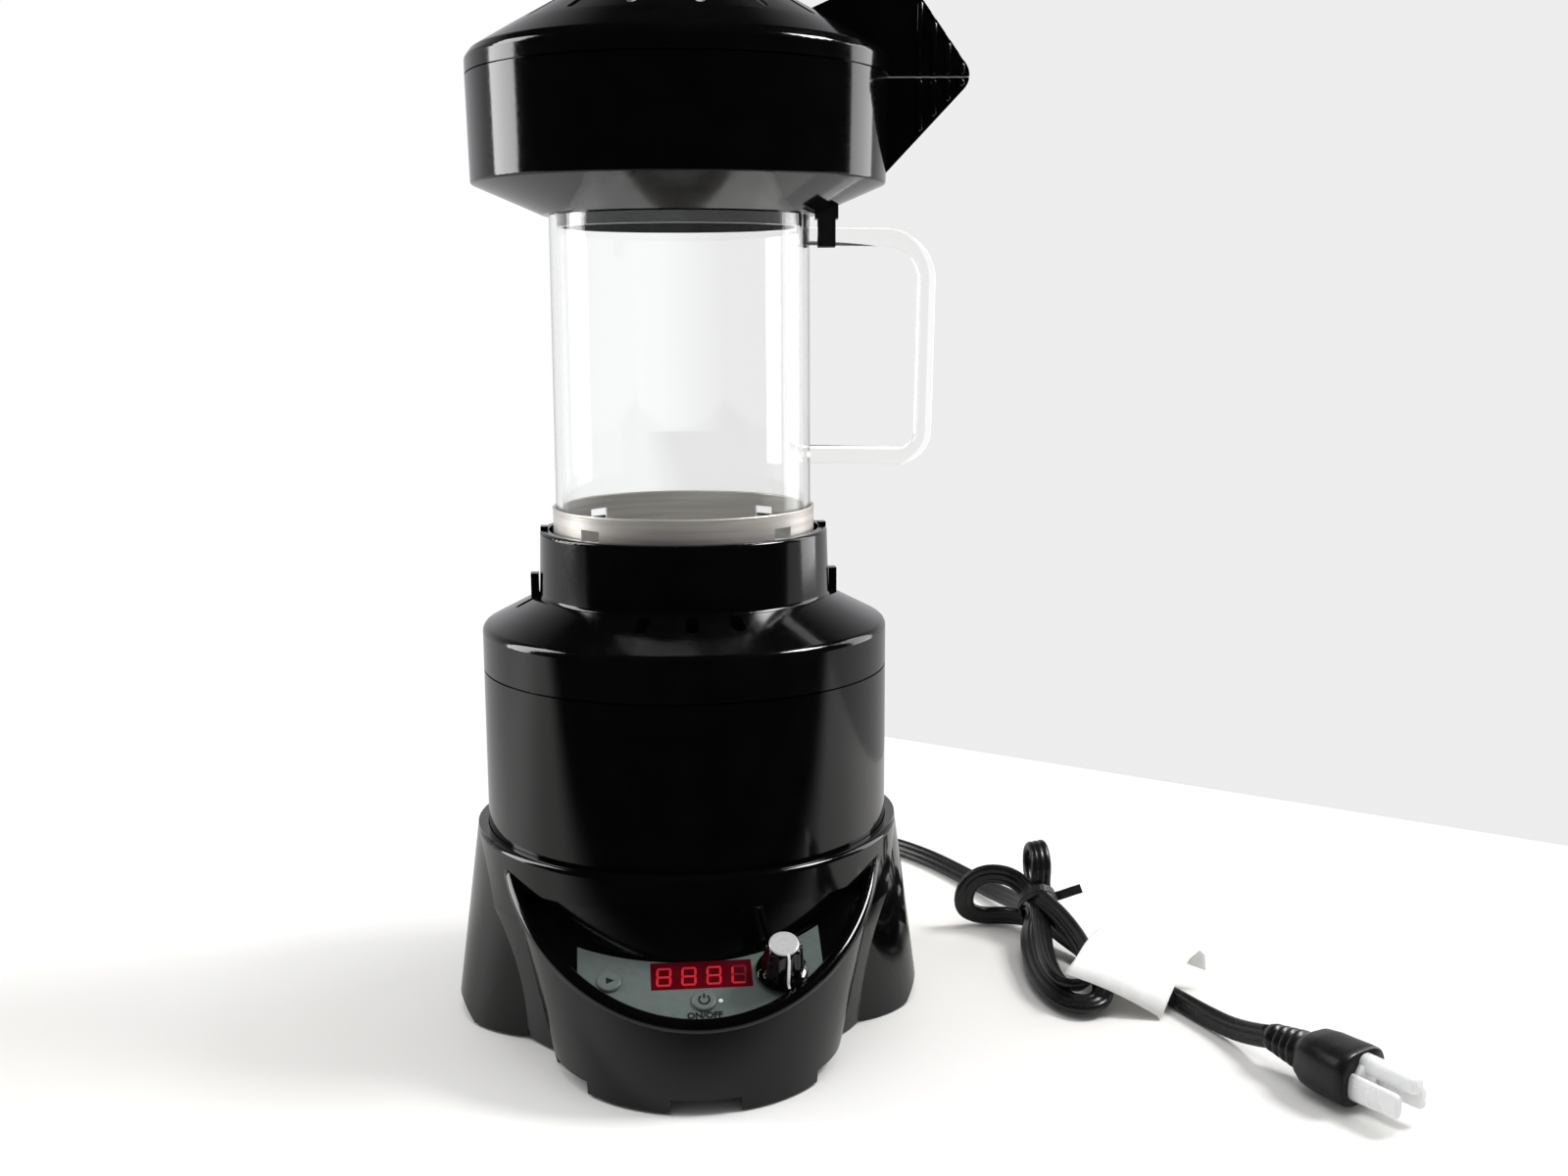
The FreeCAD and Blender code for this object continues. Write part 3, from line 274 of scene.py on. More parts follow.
# Finishes by slot: name, darker and lighter colour, roughness, grain per metre, relief and metallic share
FINISHES = {
    "black_housing": (
        "gloss_black_housing", (0.0012, 0.0012, 0.0013), (0.002, 0.002, 0.0021), (0.07, 0.12), 700, 0.012, 0),
    "black_cover": (
        "gloss_black_cover", (0.0014, 0.0014, 0.0015), (0.0024, 0.0024, 0.0026), (0.08, 0.14), 650, 0.015, 0),
    "black_matte": ("satin_black", (0.008, 0.008, 0.009), (0.013, 0.013, 0.014), (0.32, 0.45), 2600, 0.12, 0),
    "dark_rubber": ("dark_rubber", (0.014, 0.014, 0.014), (0.024, 0.024, 0.023), (0.6, 0.8), 1800, 0.3, 0),
    "silicone": ("silicone_gasket", (0.5, 0.5, 0.48), (0.6, 0.6, 0.58), (0.4, 0.55), 1200, 0.1, 0),
    "steel": ("brushed_steel", (0.6, 0.56, 0.52), (0.76, 0.72, 0.68), (0.3, 0.44), 160, 0.2, 0.55),
    "bright_steel": ("bright_steel", (0.84, 0.82, 0.79), (0.92, 0.9, 0.88), (0.35, 0.5), 500, 0.06, 0.1),
    "zinc_steel": ("zinc_steel", (0.42, 0.43, 0.45), (0.55, 0.56, 0.57), (0.3, 0.45), 900, 0.15, 1),
    "overlay_grey": (
        "overlay_grey_green", (0.09, 0.112, 0.104), (0.1, 0.124, 0.115), (0.36, 0.46), 3000, 0.08, 0),
    "display_red": ("display_red", (0.065, 0.001, 0.004), (0.085, 0.002, 0.006), (0.1, 0.16), 900, 0.01, 0),
    "display_body": ("display_body", (0.02, 0.02, 0.02), (0.03, 0.03, 0.03), (0.4, 0.5), 1500, 0.1, 0),
    "board_green": ("circuit_board", (0.01, 0.09, 0.035), (0.014, 0.13, 0.05), (0.35, 0.5), 2200, 0.15, 0),
    "mica": ("mica_sheet", (0.42, 0.36, 0.24), (0.6, 0.53, 0.38), (0.3, 0.5), 400, 0.2, 0),
    "heater_wire": ("heater_wire", (0.2, 0.17, 0.15), (0.34, 0.28, 0.24), (0.35, 0.5), 1500, 0.2, 1),
    "fan_white": ("fan_polymer", (0.62, 0.62, 0.58), (0.7, 0.7, 0.66), (0.3, 0.42), 1400, 0.06, 0),
    "motor_steel": ("motor_can", (0.4, 0.4, 0.41), (0.5, 0.5, 0.51), (0.28, 0.4), 900, 0.12, 1),
    "fuse_white": ("fuse_ceramic", (0.7, 0.69, 0.66), (0.8, 0.79, 0.76), (0.4, 0.55), 1500, 0.1, 0),
    "cord_black": ("cord_sheath", (0.006, 0.006, 0.0065), (0.011, 0.011, 0.012), (0.24, 0.36), 1500, 0.1, 0),
    "plug_black": (
        "plug_moulding", (0.006, 0.006, 0.0065), (0.011, 0.011, 0.012), (0.26, 0.4), 2000, 0.14, 0),
    "brass_pins": ("nickel_brass_pins", (0.6, 0.57, 0.48), (0.72, 0.69, 0.6), (0.16, 0.26), 900, 0.05, 1),
    "tag_white": ("tag_paper", (0.88, 0.87, 0.85), (0.94, 0.935, 0.92), (0.6, 0.75), 1600, 0.12, 0),
    "tie_black": ("twist_tie", (0.008, 0.008, 0.008), (0.014, 0.014, 0.014), (0.35, 0.5), 2200, 0.2, 0),
}
UNLIT_FINISH = ("segment_unlit", (0.1, 0.002, 0.007), (0.12, 0.003, 0.008), (0.3, 0.4), 900, 0.02, 0)
DARK_FINISH = ("print_dark", (0.006, 0.007, 0.008), (0.01, 0.011, 0.012), (0.4, 0.5), 2500, 0.05, 0)
LIGHT_FINISH = ("print_light", (0.7, 0.71, 0.7), (0.78, 0.79, 0.78), (0.35, 0.45), 2500, 0.05, 0)
GRAIN_STRETCH = {"steel": (1.0, 1.0, 26.0), "motor_steel": (1.0, 1.0, 12.0)}
BROAD_SHARE = 0.12
FINE_DETAIL = 4.0
RELIEF = 0.0002
NOISE_SPAN = (0.3, 0.7)
PRINT_SHINE = 0.1
LIT_COLOUR = (0.4, 0.006, 0.014)
LIT_STRENGTH = 0.35
LIT_ROUGH = 0.35
LIT_GRAIN = 900.0
LIT_SHADE = 0.85
GLASS_TINT = (0.985, 0.995, 0.99)
GLASS_ROUGH = (0.0, 0.012)
GLASS_IOR = 1.36
GLASS_WAVES = 30.0
GLASS_WAVE = 0.04
GLASS_WAVE_DEPTH = 0.0003
VINYL_COLOURS = ((0.93, 0.94, 0.94), (0.96, 0.965, 0.965))
VINYL_ROUGH = (0.2, 0.34)
VINYL_WAVES = 120.0
VINYL_IOR = 1.4
VINYL_CLEAR = 0.12
SPUN_COLOURS = ((0.62, 0.62, 0.62), (0.8, 0.8, 0.8))
SPUN_ROUGH = (0.22, 0.34)
SPUN_RINGS = 900.0
SPUN_WOBBLE = 0.6
SPUN_RELIEF = 0.25
SPUN_DEPTH = 0.00005
SPUN_METAL = 0.45


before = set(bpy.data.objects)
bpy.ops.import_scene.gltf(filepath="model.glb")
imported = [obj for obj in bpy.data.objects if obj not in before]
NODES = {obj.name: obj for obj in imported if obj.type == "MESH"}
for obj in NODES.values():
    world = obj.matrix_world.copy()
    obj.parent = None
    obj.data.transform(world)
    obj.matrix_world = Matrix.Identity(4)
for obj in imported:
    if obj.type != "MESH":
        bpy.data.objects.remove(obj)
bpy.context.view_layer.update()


# Shader helpers
def new_material(name):
    material = bpy.data.materials.new(name)
    material.use_nodes = True
    return material, material.node_tree, material.node_tree.nodes["Principled BSDF"]


def place(tree, stretch=(1.0, 1.0, 1.0)):
    """Object coordinates, stretched to give a grain its direction."""
    where = tree.nodes.new("ShaderNodeTexCoord")
    mapping = tree.nodes.new("ShaderNodeMapping")
    mapping.inputs["Scale"].default_value = stretch
    tree.links.new(where.outputs["Object"], mapping.inputs["Vector"])
    return mapping.outputs["Vector"]


def noise(tree, vector, scale, detail=3.0):
    node = tree.nodes.new("ShaderNodeTexNoise")
    node.inputs["Scale"].default_value = scale
    node.inputs["Detail"].default_value = detail
    tree.links.new(vector, node.inputs["Vector"])
    return node.outputs["Fac"]


def ramp(tree, factor, low, high, low_at=0.35, high_at=0.65):
    node = tree.nodes.new("ShaderNodeValToRGB")
    node.color_ramp.elements[0].position = low_at
    node.color_ramp.elements[1].position = high_at
    node.color_ramp.elements[0].color = (*low, 1.0)
    node.color_ramp.elements[1].color = (*high, 1.0)
    tree.links.new(factor, node.inputs["Fac"])
    return node.outputs["Color"]


def spread(tree, factor, low, high):
    node = tree.nodes.new("ShaderNodeMapRange")
    node.inputs["To Min"].default_value = low
    node.inputs["To Max"].default_value = high
    node.inputs["From Min"].default_value = NOISE_SPAN[0]
    node.inputs["From Max"].default_value = NOISE_SPAN[1]
    tree.links.new(factor, node.inputs["Value"])
    return node.outputs["Result"]


def bumped(tree, shader, height, strength, distance):
    node = tree.nodes.new("ShaderNodeBump")
    node.inputs["Strength"].default_value = strength
    node.inputs["Distance"].default_value = distance
    tree.links.new(height, node.inputs["Height"])
    tree.links.new(node.outputs["Normal"], shader.inputs["Normal"])


def surface(name, low, high, rough, grain, relief, metal, stretch=(1.0, 1.0, 1.0)):
    """Opaque finish: two close colours, a roughness range and a fine relief."""
    material, tree, shader = new_material(name)
    vector = place(tree, stretch)
    broad = noise(tree, vector, grain * BROAD_SHARE)
    fine = noise(tree, vector, grain, FINE_DETAIL)
    tree.links.new(ramp(tree, broad, low, high), shader.inputs["Base Color"])
    tree.links.new(spread(tree, fine, *rough), shader.inputs["Roughness"])
    bumped(tree, shader, fine, relief, RELIEF)
    shader.inputs["Metallic"].default_value = metal
    return material


def clear_glass():
    """Clear glass with a faint waviness."""
    material, tree, shader = new_material("borosilicate")
    wave = noise(tree, place(tree), GLASS_WAVES)
    tree.links.new(spread(tree, wave, *GLASS_ROUGH), shader.inputs["Roughness"])
    bumped(tree, shader, wave, GLASS_WAVE, GLASS_WAVE_DEPTH)
    shader.inputs["Base Color"].default_value = (*GLASS_TINT, 1.0)
    shader.inputs["Transmission Weight"].default_value = 1.0
    shader.inputs["IOR"].default_value = GLASS_IOR
    return material


def soft_vinyl():
    """Milky vinyl that lets a little light through."""
    material, tree, shader = new_material("soft_clear_vinyl")
    wave = noise(tree, place(tree), VINYL_WAVES)
    tree.links.new(ramp(tree, wave, *VINYL_COLOURS), shader.inputs["Base Color"])
    tree.links.new(spread(tree, wave, *VINYL_ROUGH), shader.inputs["Roughness"])
    shader.inputs["Transmission Weight"].default_value = VINYL_CLEAR
    shader.inputs["IOR"].default_value = VINYL_IOR
    return material


def lit_bars():
    """A faint red glow for the lit bars of the display."""
    material, tree, shader = new_material("segment_lit")
    flicker = noise(tree, place(tree), LIT_GRAIN)
    tint = ramp(tree, flicker, [c * LIT_SHADE for c in LIT_COLOUR], LIT_COLOUR)
    tree.links.new(tint, shader.inputs["Emission Color"])
    tree.links.new(tint, shader.inputs["Base Color"])
    shader.inputs["Emission Strength"].default_value = LIT_STRENGTH
    shader.inputs["Roughness"].default_value = LIT_ROUGH
    return material


def spun_aluminium():
    """Fine turned rings about the knob's own axis."""
    material, tree, shader = new_material("spun_aluminium")
    where = tree.nodes.new("ShaderNodeTexCoord")
    mapping = tree.nodes.new("ShaderNodeMapping")
    mapping.vector_type = "TEXTURE"
    mapping.inputs["Location"].default_value = PANEL @ (Vector((*KNOB, KNOB_TOP)) * MM)
    mapping.inputs["Rotation"].default_value = (TILT, 0.0, 0.0)
    tree.links.new(where.outputs["Object"], mapping.inputs["Vector"])
    rings = tree.nodes.new("ShaderNodeTexWave")
    rings.wave_type = "RINGS"
    rings.rings_direction = "Z"
    rings.inputs["Scale"].default_value = SPUN_RINGS
    rings.inputs["Distortion"].default_value = SPUN_WOBBLE
    tree.links.new(mapping.outputs["Vector"], rings.inputs["Vector"])
    fine = rings.outputs["Fac"]
    tree.links.new(ramp(tree, fine, *SPUN_COLOURS), shader.inputs["Base Color"])
    tree.links.new(spread(tree, fine, *SPUN_ROUGH), shader.inputs["Roughness"])
    bumped(tree, shader, fine, SPUN_RELIEF, SPUN_DEPTH)
    shader.inputs["Metallic"].default_value = SPUN_METAL
    return material


def make_materials():
    """One material for each slot."""
    materials = {}
    for slot, finish in FINISHES.items():
        materials[slot] = surface(*finish, GRAIN_STRETCH.get(slot, (1.0, 1.0, 1.0)))
    materials["clear_glass"] = clear_glass()
    materials["aluminium_disc"] = spun_aluminium()
    materials["cover_clear"] = soft_vinyl()
    return materials


MATERIALS = make_materials()
LIT = lit_bars()
UNLIT = surface(*UNLIT_FINISH)
PRINT_DARK = surface(*DARK_FINISH)
PRINT_LIGHT = surface(*LIGHT_FINISH)
PRINT_DARK.node_tree.nodes["Principled BSDF"].inputs["Specular IOR Level"].default_value = PRINT_SHINE

SLOT_OF = {
    "black_housing": ["control_housing", "rear_skirt", "main_housing", "collector_bowl"],
    "black_cover": ["shoulder_cover", "collector_lid"],
    "black_matte": ["bottom_cover", "motor_mount", "fan_housing", "knob_body", "handle_fork"],
    "dark_rubber": ["rubber_feet", "cord_gland"],
    "silicone": ["chamber_gasket"],
    "clear_glass": ["glass_chamber"],
    "steel": ["chamber_ring"],
    "bright_steel": ["chamber_screen", "lid_mesh"],
    "zinc_steel": ["bottom_screws", "encoder_body", "encoder_shaft"],
    "aluminium_disc": ["knob_disc"],
    "overlay_grey": ["panel_overlay", "run_button", "power_button"],
    "display_red": ["display_window"],
    "display_body": ["display_module"],
    "board_green": ["power_board", "control_board"],
    "mica": ["heater_frame"],
    "heater_wire": ["heater_coil"],
    "fan_white": ["impeller"],
    "motor_steel": ["motor_can", "motor_shaft", "heater_tube"],
    "fuse_white": ["thermal_fuse"],
    "cord_black": ["cord_lead", "cord_tail", "cord_hank"],
    "plug_black": ["plug_body"],
    "brass_pins": ["plug_blades", "plug_ground_pin"],
    "cover_clear": ["prong_cover"],
    "tag_white": ["cord_tag"],
    "tie_black": ["twist_tie"],
}


def dress_nodes():
    for slot, names in SLOT_OF.items():
        for name in names:
            mesh = NODES[name].data
            mesh.materials.clear()
            mesh.materials.append(MATERIALS[slot])


# Mesh helpers
def mesh_object(name, shape, material, body, smooth=True):
    """A piece made from (vertices, faces), given its slot and the body it rides on."""
    vertices, faces = shape
    mesh = bpy.data.meshes.new(name)
    mesh.from_pydata([tuple(v) for v in vertices], [], faces)
    mesh.validate()
    work = bmesh.new()
    work.from_mesh(mesh)
    bmesh.ops.recalc_face_normals(work, faces=work.faces[:])
    work.to_mesh(mesh)
    work.free()
    for polygon in mesh.polygons:
        polygon.use_smooth = smooth
    piece = bpy.data.objects.new(name, mesh)
    bpy.context.scene.collection.objects.link(piece)
    mesh.materials.append(material)
    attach(piece, body)
    return piece


def slab(outline, low, high, matrix):
    """A flat outline given thickness; returns its vertices and faces."""
    count = len(outline)
    vertices = [matrix @ (Vector((x, y, low)) * MM) for x, y in outline]
    vertices += [matrix @ (Vector((x, y, high)) * MM) for x, y in outline]
    faces = [tuple(reversed(range(count))), tuple(range(count, 2 * count))]
    for index in range(count):
        after = (index + 1) % count
        faces.append((index, after, count + after, count + index))
    return vertices, faces


def lofted(rings, closed=False, capped=False):
    """Skin over rings with equal point counts; closed joins the last ring to the first."""
    count = len(rings[0])
    vertices = [point for ring in rings for point in ring]
    faces = []
    spans = len(rings) if closed else len(rings) - 1
    for row in range(spans):
        here = row * count
        there = ((row + 1) % len(rings)) * count
        for index in range(count):
            after = (index + 1) % count
            faces.append((here + index, here + after, there + after, there + index))
    if capped:
        faces.append(tuple(reversed(range(count))))
        last = (len(rings) - 1) * count
        faces.append(tuple(range(last, last + count)))
    return vertices, faces


def joined(parts):
    vertices = []
    faces = []
    for part_vertices, part_faces in parts:
        start = len(vertices)
        vertices += part_vertices
        faces += [tuple(start + index for index in face) for face in part_faces]
    return vertices, faces


def circle(centre, radius, count, start=0.0, turn=FULL_TURN):
    """Points round a circle, or along an arc with a point at each end."""
    steps = count if turn == FULL_TURN else count - 1
    points = []
    for index in range(count):
        angle = start + turn * index / steps
        points.append((centre[0] + radius * math.cos(angle), centre[1] + radius * math.sin(angle)))
    return points


def band(centre, radius, width, count, start, turn):
    """Outline of a bent bar: out along one arc and back along another."""
    outer = circle(centre, radius + width / 2, count, start, turn)
    inner = circle(centre, radius - width / 2, count, start, turn)
    return outer + inner[::-1]


def swept_tube(path, profile, start_up, twist=0.0):
    """Profile carried along a path, turned evenly by twist from one end to the other."""
    up = start_up
    rings = []
    for index, point in enumerate(path):
        ahead = path[min(index + 1, len(path) - 1)] - path[max(index - 1, 0)]
        along = ahead.normalized()
        up = (up - along * up.dot(along)).normalized()
        roll = Matrix.Rotation(twist * index / len(path), 3, along)
        wide, flat = roll @ up, roll @ along.cross(up)
        rings.append([point + (wide * x + flat * y) * MM for x, y in profile])
    return lofted(rings, capped=True)


# Control panel
def segment_outline(kind):
    """One bar of a digit, pointed at both ends, about the digit's own middle."""
    w, h, t = DIGIT_W / 2, DIGIT_H / 2, DIGIT_BAR / 2
    point = t * DIGIT_POINT
    if kind in ("top", "mid", "low"):
        y = {"top": h - t, "mid": 0.0, "low": t - h}[kind]
        end = w - t - DIGIT_GAP
        right = [(end, y - t), (end + point, y), (end, y + t)]
        left = [(-end, y + t), (-end - point, y), (-end, y - t)]
        return right + left
    x = (t - w) if kind.endswith("left") else (w - t)
    low, high = (DIGIT_GAP, h - t - DIGIT_GAP) if kind.startswith("top") else (t + DIGIT_GAP - h, -DIGIT_GAP)
    foot = [(x - t, low + point), (x, low), (x + t, low + point)]
    head = [(x + t, high - point), (x, high), (x - t, high - point)]
    return foot + head


def make_digits():
    """Seven-segment digits: the lit bars are one piece and the unlit bars another."""
    groups = {"lit": [], "unlit": []}
    base = OVERLAY_T + PRINT_LIFT
    middle_y = DISPLAY[1] + DIGIT_DROP
    for index, shown in enumerate(SHOWN):
        middle_x = DISPLAY[0] + (index - (len(SHOWN) - 1) / 2) * DIGIT_PITCH
        for kind in SEGMENTS:
            outline = [(middle_x + x + y * DIGIT_LEAN, middle_y + y) for x, y in segment_outline(kind)]
            groups["lit" if kind in shown else "unlit"].append(slab(outline, base, base + PRINT_T, PANEL))
    mesh_object("digits_lit", joined(groups["lit"]), LIT, "base", smooth=False)
    mesh_object("digits_unlit", joined(groups["unlit"]), UNLIT, "base", smooth=False)


def make_button_marks():
    """Symbols printed on the run and power keys."""
    low, high = BUTTON_TOP - MARK_SINK, BUTTON_TOP + PRINT_T
    run_x, run_y = RUN
    play = [(run_x - PLAY_BACK, run_y - PLAY_HALF_H), (run_x + PLAY_FRONT, run_y)]
    play.append((run_x - PLAY_BACK, run_y + PLAY_HALF_H))
    mesh_object("run_mark", slab(play, low, high, PANEL), PRINT_DARK, "run_key", smooth=False)
    arc = band(POWER, POWER_ARC_R, POWER_STROKE, POWER_ARC_POINTS, POWER_ARC_START, POWER_ARC_TURN)
    left, right = POWER[0] - POWER_STROKE / 2, POWER[0] + POWER_STROKE / 2
    foot, head = POWER[1] + POWER_BAR[0], POWER[1] + POWER_BAR[1]
    bar = [(left, foot), (right, foot), (right, head), (left, head)]
    power = joined([slab(outline, low, high, PANEL) for outline in (arc, bar)])
    mesh_object("power_mark", power, PRINT_DARK, "power_key", smooth=False)


def make_indicator():
    """Small pale indicator lens beside the power key."""
    rings = []
    for share in LED_RINGS:
        radius = LED_R * math.cos(share * math.pi / 2)
        rise = OVERLAY_T - PRINT_LIFT + LED_RISE * math.sin(share * math.pi / 2)
        rings.append([PANEL @ (Vector((x, y, rise)) * MM) for x, y in circle(LED, radius, LED_POINTS)])
    mesh_object("indicator_lens", lofted(rings, capped=True), PRINT_LIGHT, "base")


def make_word(name, text, centre, size):
    curve = bpy.data.curves.new(name, "FONT")
    curve.body = text
    curve.size = size * MM
    curve.extrude = WORD_T * MM
    curve.offset = WORD_WEIGHT * MM
    curve.align_x = "CENTER"
    curve.align_y = "CENTER"
    word = bpy.data.objects.new(name, curve)
    bpy.context.scene.collection.objects.link(word)
    word.matrix_world = PANEL @ Matrix.Translation(Vector((*centre, OVERLAY_T + WORD_T)) * MM)
    curve.materials.append(PRINT_DARK)
    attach(word, "base")


def panel_outline(inset, rise, reach):
    """Plan of the pod's side at one rise over the panel, from the left skirt round to the right."""
    points = []
    for index in range(POD_STEPS + 1):
        angle = math.pi + math.pi * index / POD_STEPS
        low, high = POD_FOOT_Z, POD_TOP_Z + POD_REACH_Z
        for _ in range(POD_HALVINGS):
            z = (low + high) / 2
            share = (z - POD_FOOT_Z) / (POD_TOP_Z - POD_FOOT_Z)
            radius = POD_FOOT_R + (POD_TOP_R - POD_FOOT_R) * share
            centre = radius - POD_FRONT
            x = (radius - inset) * math.cos(angle)
            y = centre + (radius - inset) * math.sin(angle)
            over = -math.sin(TILT) * (y * MM - PANEL_EDGE.y) + math.cos(TILT) * (z * MM - PANEL_EDGE.z)
            if over > rise * MM:
                high = z
            else:
                low = z
        if math.hypot(x, y) > reach:
            points.append(Vector((x, y, z)) * MM)
    return points


def make_rim_bead():
    """Rounded lip that runs along the top of the pod's wall."""
    path = panel_outline(RIM_BEAD_IN, RIM_BEAD_RISE, RIM_BEAD_ENDS_R)
    shape = swept_tube(path, circle((0, 0), RIM_BEAD_R, RIM_BEAD_POINTS), Vector((0.0, 0.0, 1.0)))
    mesh_object("pod_rim_bead", shape, MATERIALS["black_housing"], "base")


def make_overlay():
    """Printed sheet in the tray: its lower edge follows the rim, its upper edge the skirt's wall."""
    edge = panel_outline(RIM_BEAD_IN + RIM_BEAD_R + OVERLAY_GAP, 0.0, OVERLAY_ENDS_R)
    inverse = PANEL.inverted()
    lower = []
    for point in edge:
        spot = inverse @ point / MM
        if OVERLAY_LEFT < spot.x < OVERLAY_RIGHT:
            lower.append((spot.x, spot.y))
    upper = []
    for index in range(OVERLAY_STEPS + 1):
        x = lower[-1][0] + (lower[0][0] - lower[-1][0]) * index / OVERLAY_STEPS
        wall_y = -math.sqrt(OVERLAY_WALL_R ** 2 - x ** 2)
        slope = (wall_y - PANEL_EDGE.y / MM) / math.cos(TILT)
        drop = OVERLAY_DROP * (abs(x) / -OVERLAY_LEFT) ** 2 if x < 0 else 0.0
        upper.append((x, slope - drop))
    shape = slab(lower + upper, OVERLAY_FOOT, OVERLAY_T - OVERLAY_BELOW, PANEL)
    grey = MATERIALS["overlay_grey"]
    sheet = mesh_object("overlay_sheet", shape, grey, "base", smooth=False)
    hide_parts("panel_overlay")


# Knob
def knob_ring(radius, rise, depth=0.0, count=KNOB_FLUTES * KNOB_FLUTE_POINTS):
    """One ring of the knob; depth scallops it between its ribs."""
    ring = []
    for index in range(count):
        angle = FULL_TURN * index / count
        dip = depth * (0.5 - 0.5 * math.cos(angle * KNOB_FLUTES)) ** KNOB_FLUTE_SHAPE
        x = KNOB[0] + (radius - dip) * math.cos(angle)
        y = KNOB[1] + (radius - dip) * math.sin(angle)
        ring.append(PANEL @ (Vector((x, y, rise)) * MM))
    return ring


def make_knob_grip():
    """Scalloped grip on a flared skirt."""
    shape = lofted([knob_ring(*station) for station in KNOB_PROFILE], capped=True)
    grip = mesh_object("knob_grip", shape, MATERIALS["black_cover"], "knob")
    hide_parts("knob_body")


def make_knob_pointer():
    """Bright line from the disc over the grip's shoulder and down to the skirt."""
    side = Vector((math.cos(KNOB_MARK_ANGLE), math.sin(KNOB_MARK_ANGLE), 0))
    across = Vector((-side.y, side.x, 0)) * KNOB_MARK_HALF_W
    centre = Vector((*KNOB, 0))
    rings = []
    for turn in (-1, 1):
        line = [centre + side * radius + across * turn + Vector((0, 0, rise)) for radius, rise in KNOB_MARK]
        rings.append([PANEL @ (point * MM) for point in line])
    shape = lofted(rings, capped=True)
    mesh_object("knob_pointer", shape, PRINT_LIGHT, "knob", smooth=False)


def make_knob_disc():
    """Turned disc let into the grip's top, with fine grooves."""
    rings = [knob_ring(KNOB_DISC_R, rise, 0, DISC_POINTS) for rise in (DISC_FOOT, DISC_SHOULDER)]
    for step in range(DISC_GROOVES):
        radius = (KNOB_DISC_R - DISC_BEVEL) * (1 - step / DISC_GROOVES)
        rings.append(knob_ring(radius, DISC_FACE + DISC_GROOVE_DEPTH * (step % 2), 0, DISC_POINTS))
    shape = lofted(rings, capped=True)
    disc = mesh_object("knob_cap", shape, MATERIALS["aluminium_disc"], "knob")
    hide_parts("knob_disc")


# Collector's grip and the ring round the glass
def wing_rib(x, side, low, high):
    """One upright rib, half sunk in a face of the grip wing, with tapered ends."""
    turn = Matrix.Rotation(CHAMBER_TURN, 4, "Z")
    ends = WING_RIB_END
    rings = []
    for z, grow in ((low, WING_RIB_TAPER), (low + ends, 1.0), (high - ends, 1.0), (high, WING_RIB_TAPER)):
        centre = Vector((x, side * WING_T / 2, z))
        section = circle((0, 0), WING_RIB_R, WING_RIB_POINTS)
        rings.append([(turn @ (centre + Vector((dx, dy, 0)) * grow)) * MM for dx, dy in section])
    return lofted(rings, capped=True)


def make_wing_ribs():
    """Raised ribs on both faces of the grip, split at the seam between lid and collector."""
    for body, slot in (("lid", "black_cover"), ("collector", "black_housing")):
        parts = []
        for side in (-1, 1):
            for step in range(WING_RIBS):
                x = WING_RIB_X + WING_RIB_PITCH * step
                top = WING_PEAK[1] - (x - WING_PEAK[0]) * WING_TOP_SLOPE - WING_RIB_MARGIN
                foot = WING_FOOT[1] + (x - WING_FOOT[0]) * WING_FOOT_SLOPE + WING_RIB_MARGIN
                if body == "lid":
                    parts.append(wing_rib(x, side, LID_SEAM_Z + WING_RIB_SEAM_GAP, top))
                else:
                    parts.append(wing_rib(x, side, foot, LID_SEAM_Z - WING_RIB_SEAM_GAP))
        mesh_object("grip_ribs_" + body, joined(parts), MATERIALS[slot], body)


def make_ring_lip():
    """Rolled upper edge of the steel ring round the glass."""
    rings = []
    for radius, z in circle((RING_R, RING_TOP_Z - RING_LIP_SINK), RING_LIP_R, RING_LIP_POINTS):
        rings.append([Vector((x, y, z)) * MM for x, y in circle((0, 0), radius, RING_POINTS)])
    mesh_object("ring_lip", lofted(rings, closed=True), MATERIALS["steel"], "chamber")


# Mains lead and what is on it
def route_points(points, name):
    """Points along the route's own smooth NURBS line, in metres."""
    curve = bpy.data.curves.new(name, "CURVE")
    curve.dimensions = "3D"
    curve.resolution_u = CORD_RESOLUTION
    spline = curve.splines.new("NURBS")
    spline.points.add(len(points) - 1)
    for index, point in enumerate(points):
        spline.points[index].co = (*(Vector(point) * MM), 1.0)
    spline.order_u = 3
    spline.use_endpoint_u = True
    holder = bpy.data.objects.new(name, curve)
    bpy.context.scene.collection.objects.link(holder)
    bpy.context.view_layer.update()
    line = bpy.data.meshes.new_from_object(holder)
    found = [vertex.co.copy() for vertex in line.vertices]
    bpy.data.objects.remove(holder)
    bpy.data.meshes.remove(line)
    return found


def cord_profile():
    """Outline of three cores side by side: how far each ray gets from the middle."""
    outline = []
    for index in range(CORD_POINTS):
        angle = FULL_TURN * index / CORD_POINTS
        reach = 0.0
        for centre in (-CORD_CORE_STEP, 0.0, CORD_CORE_STEP):
            inside = CORD_CORE_R ** 2 - (centre * math.sin(angle)) ** 2
            if inside > 0:
                reach = max(reach, centre * math.cos(angle) + math.sqrt(inside))
        outline.append((reach * math.cos(angle), reach * math.sin(angle)))
    return outline


def make_cord():
    path = route_points(LEAD + BUNDLE + TAIL, "cord_route")
    shape = swept_tube(path, cord_profile(), CORD_START_UP, CORD_TWIST)
    cord = mesh_object("mains_lead", shape, MATERIALS["cord_black"], "base")
    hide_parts("cord_lead", "cord_hank", "cord_tail")
    return cord, path


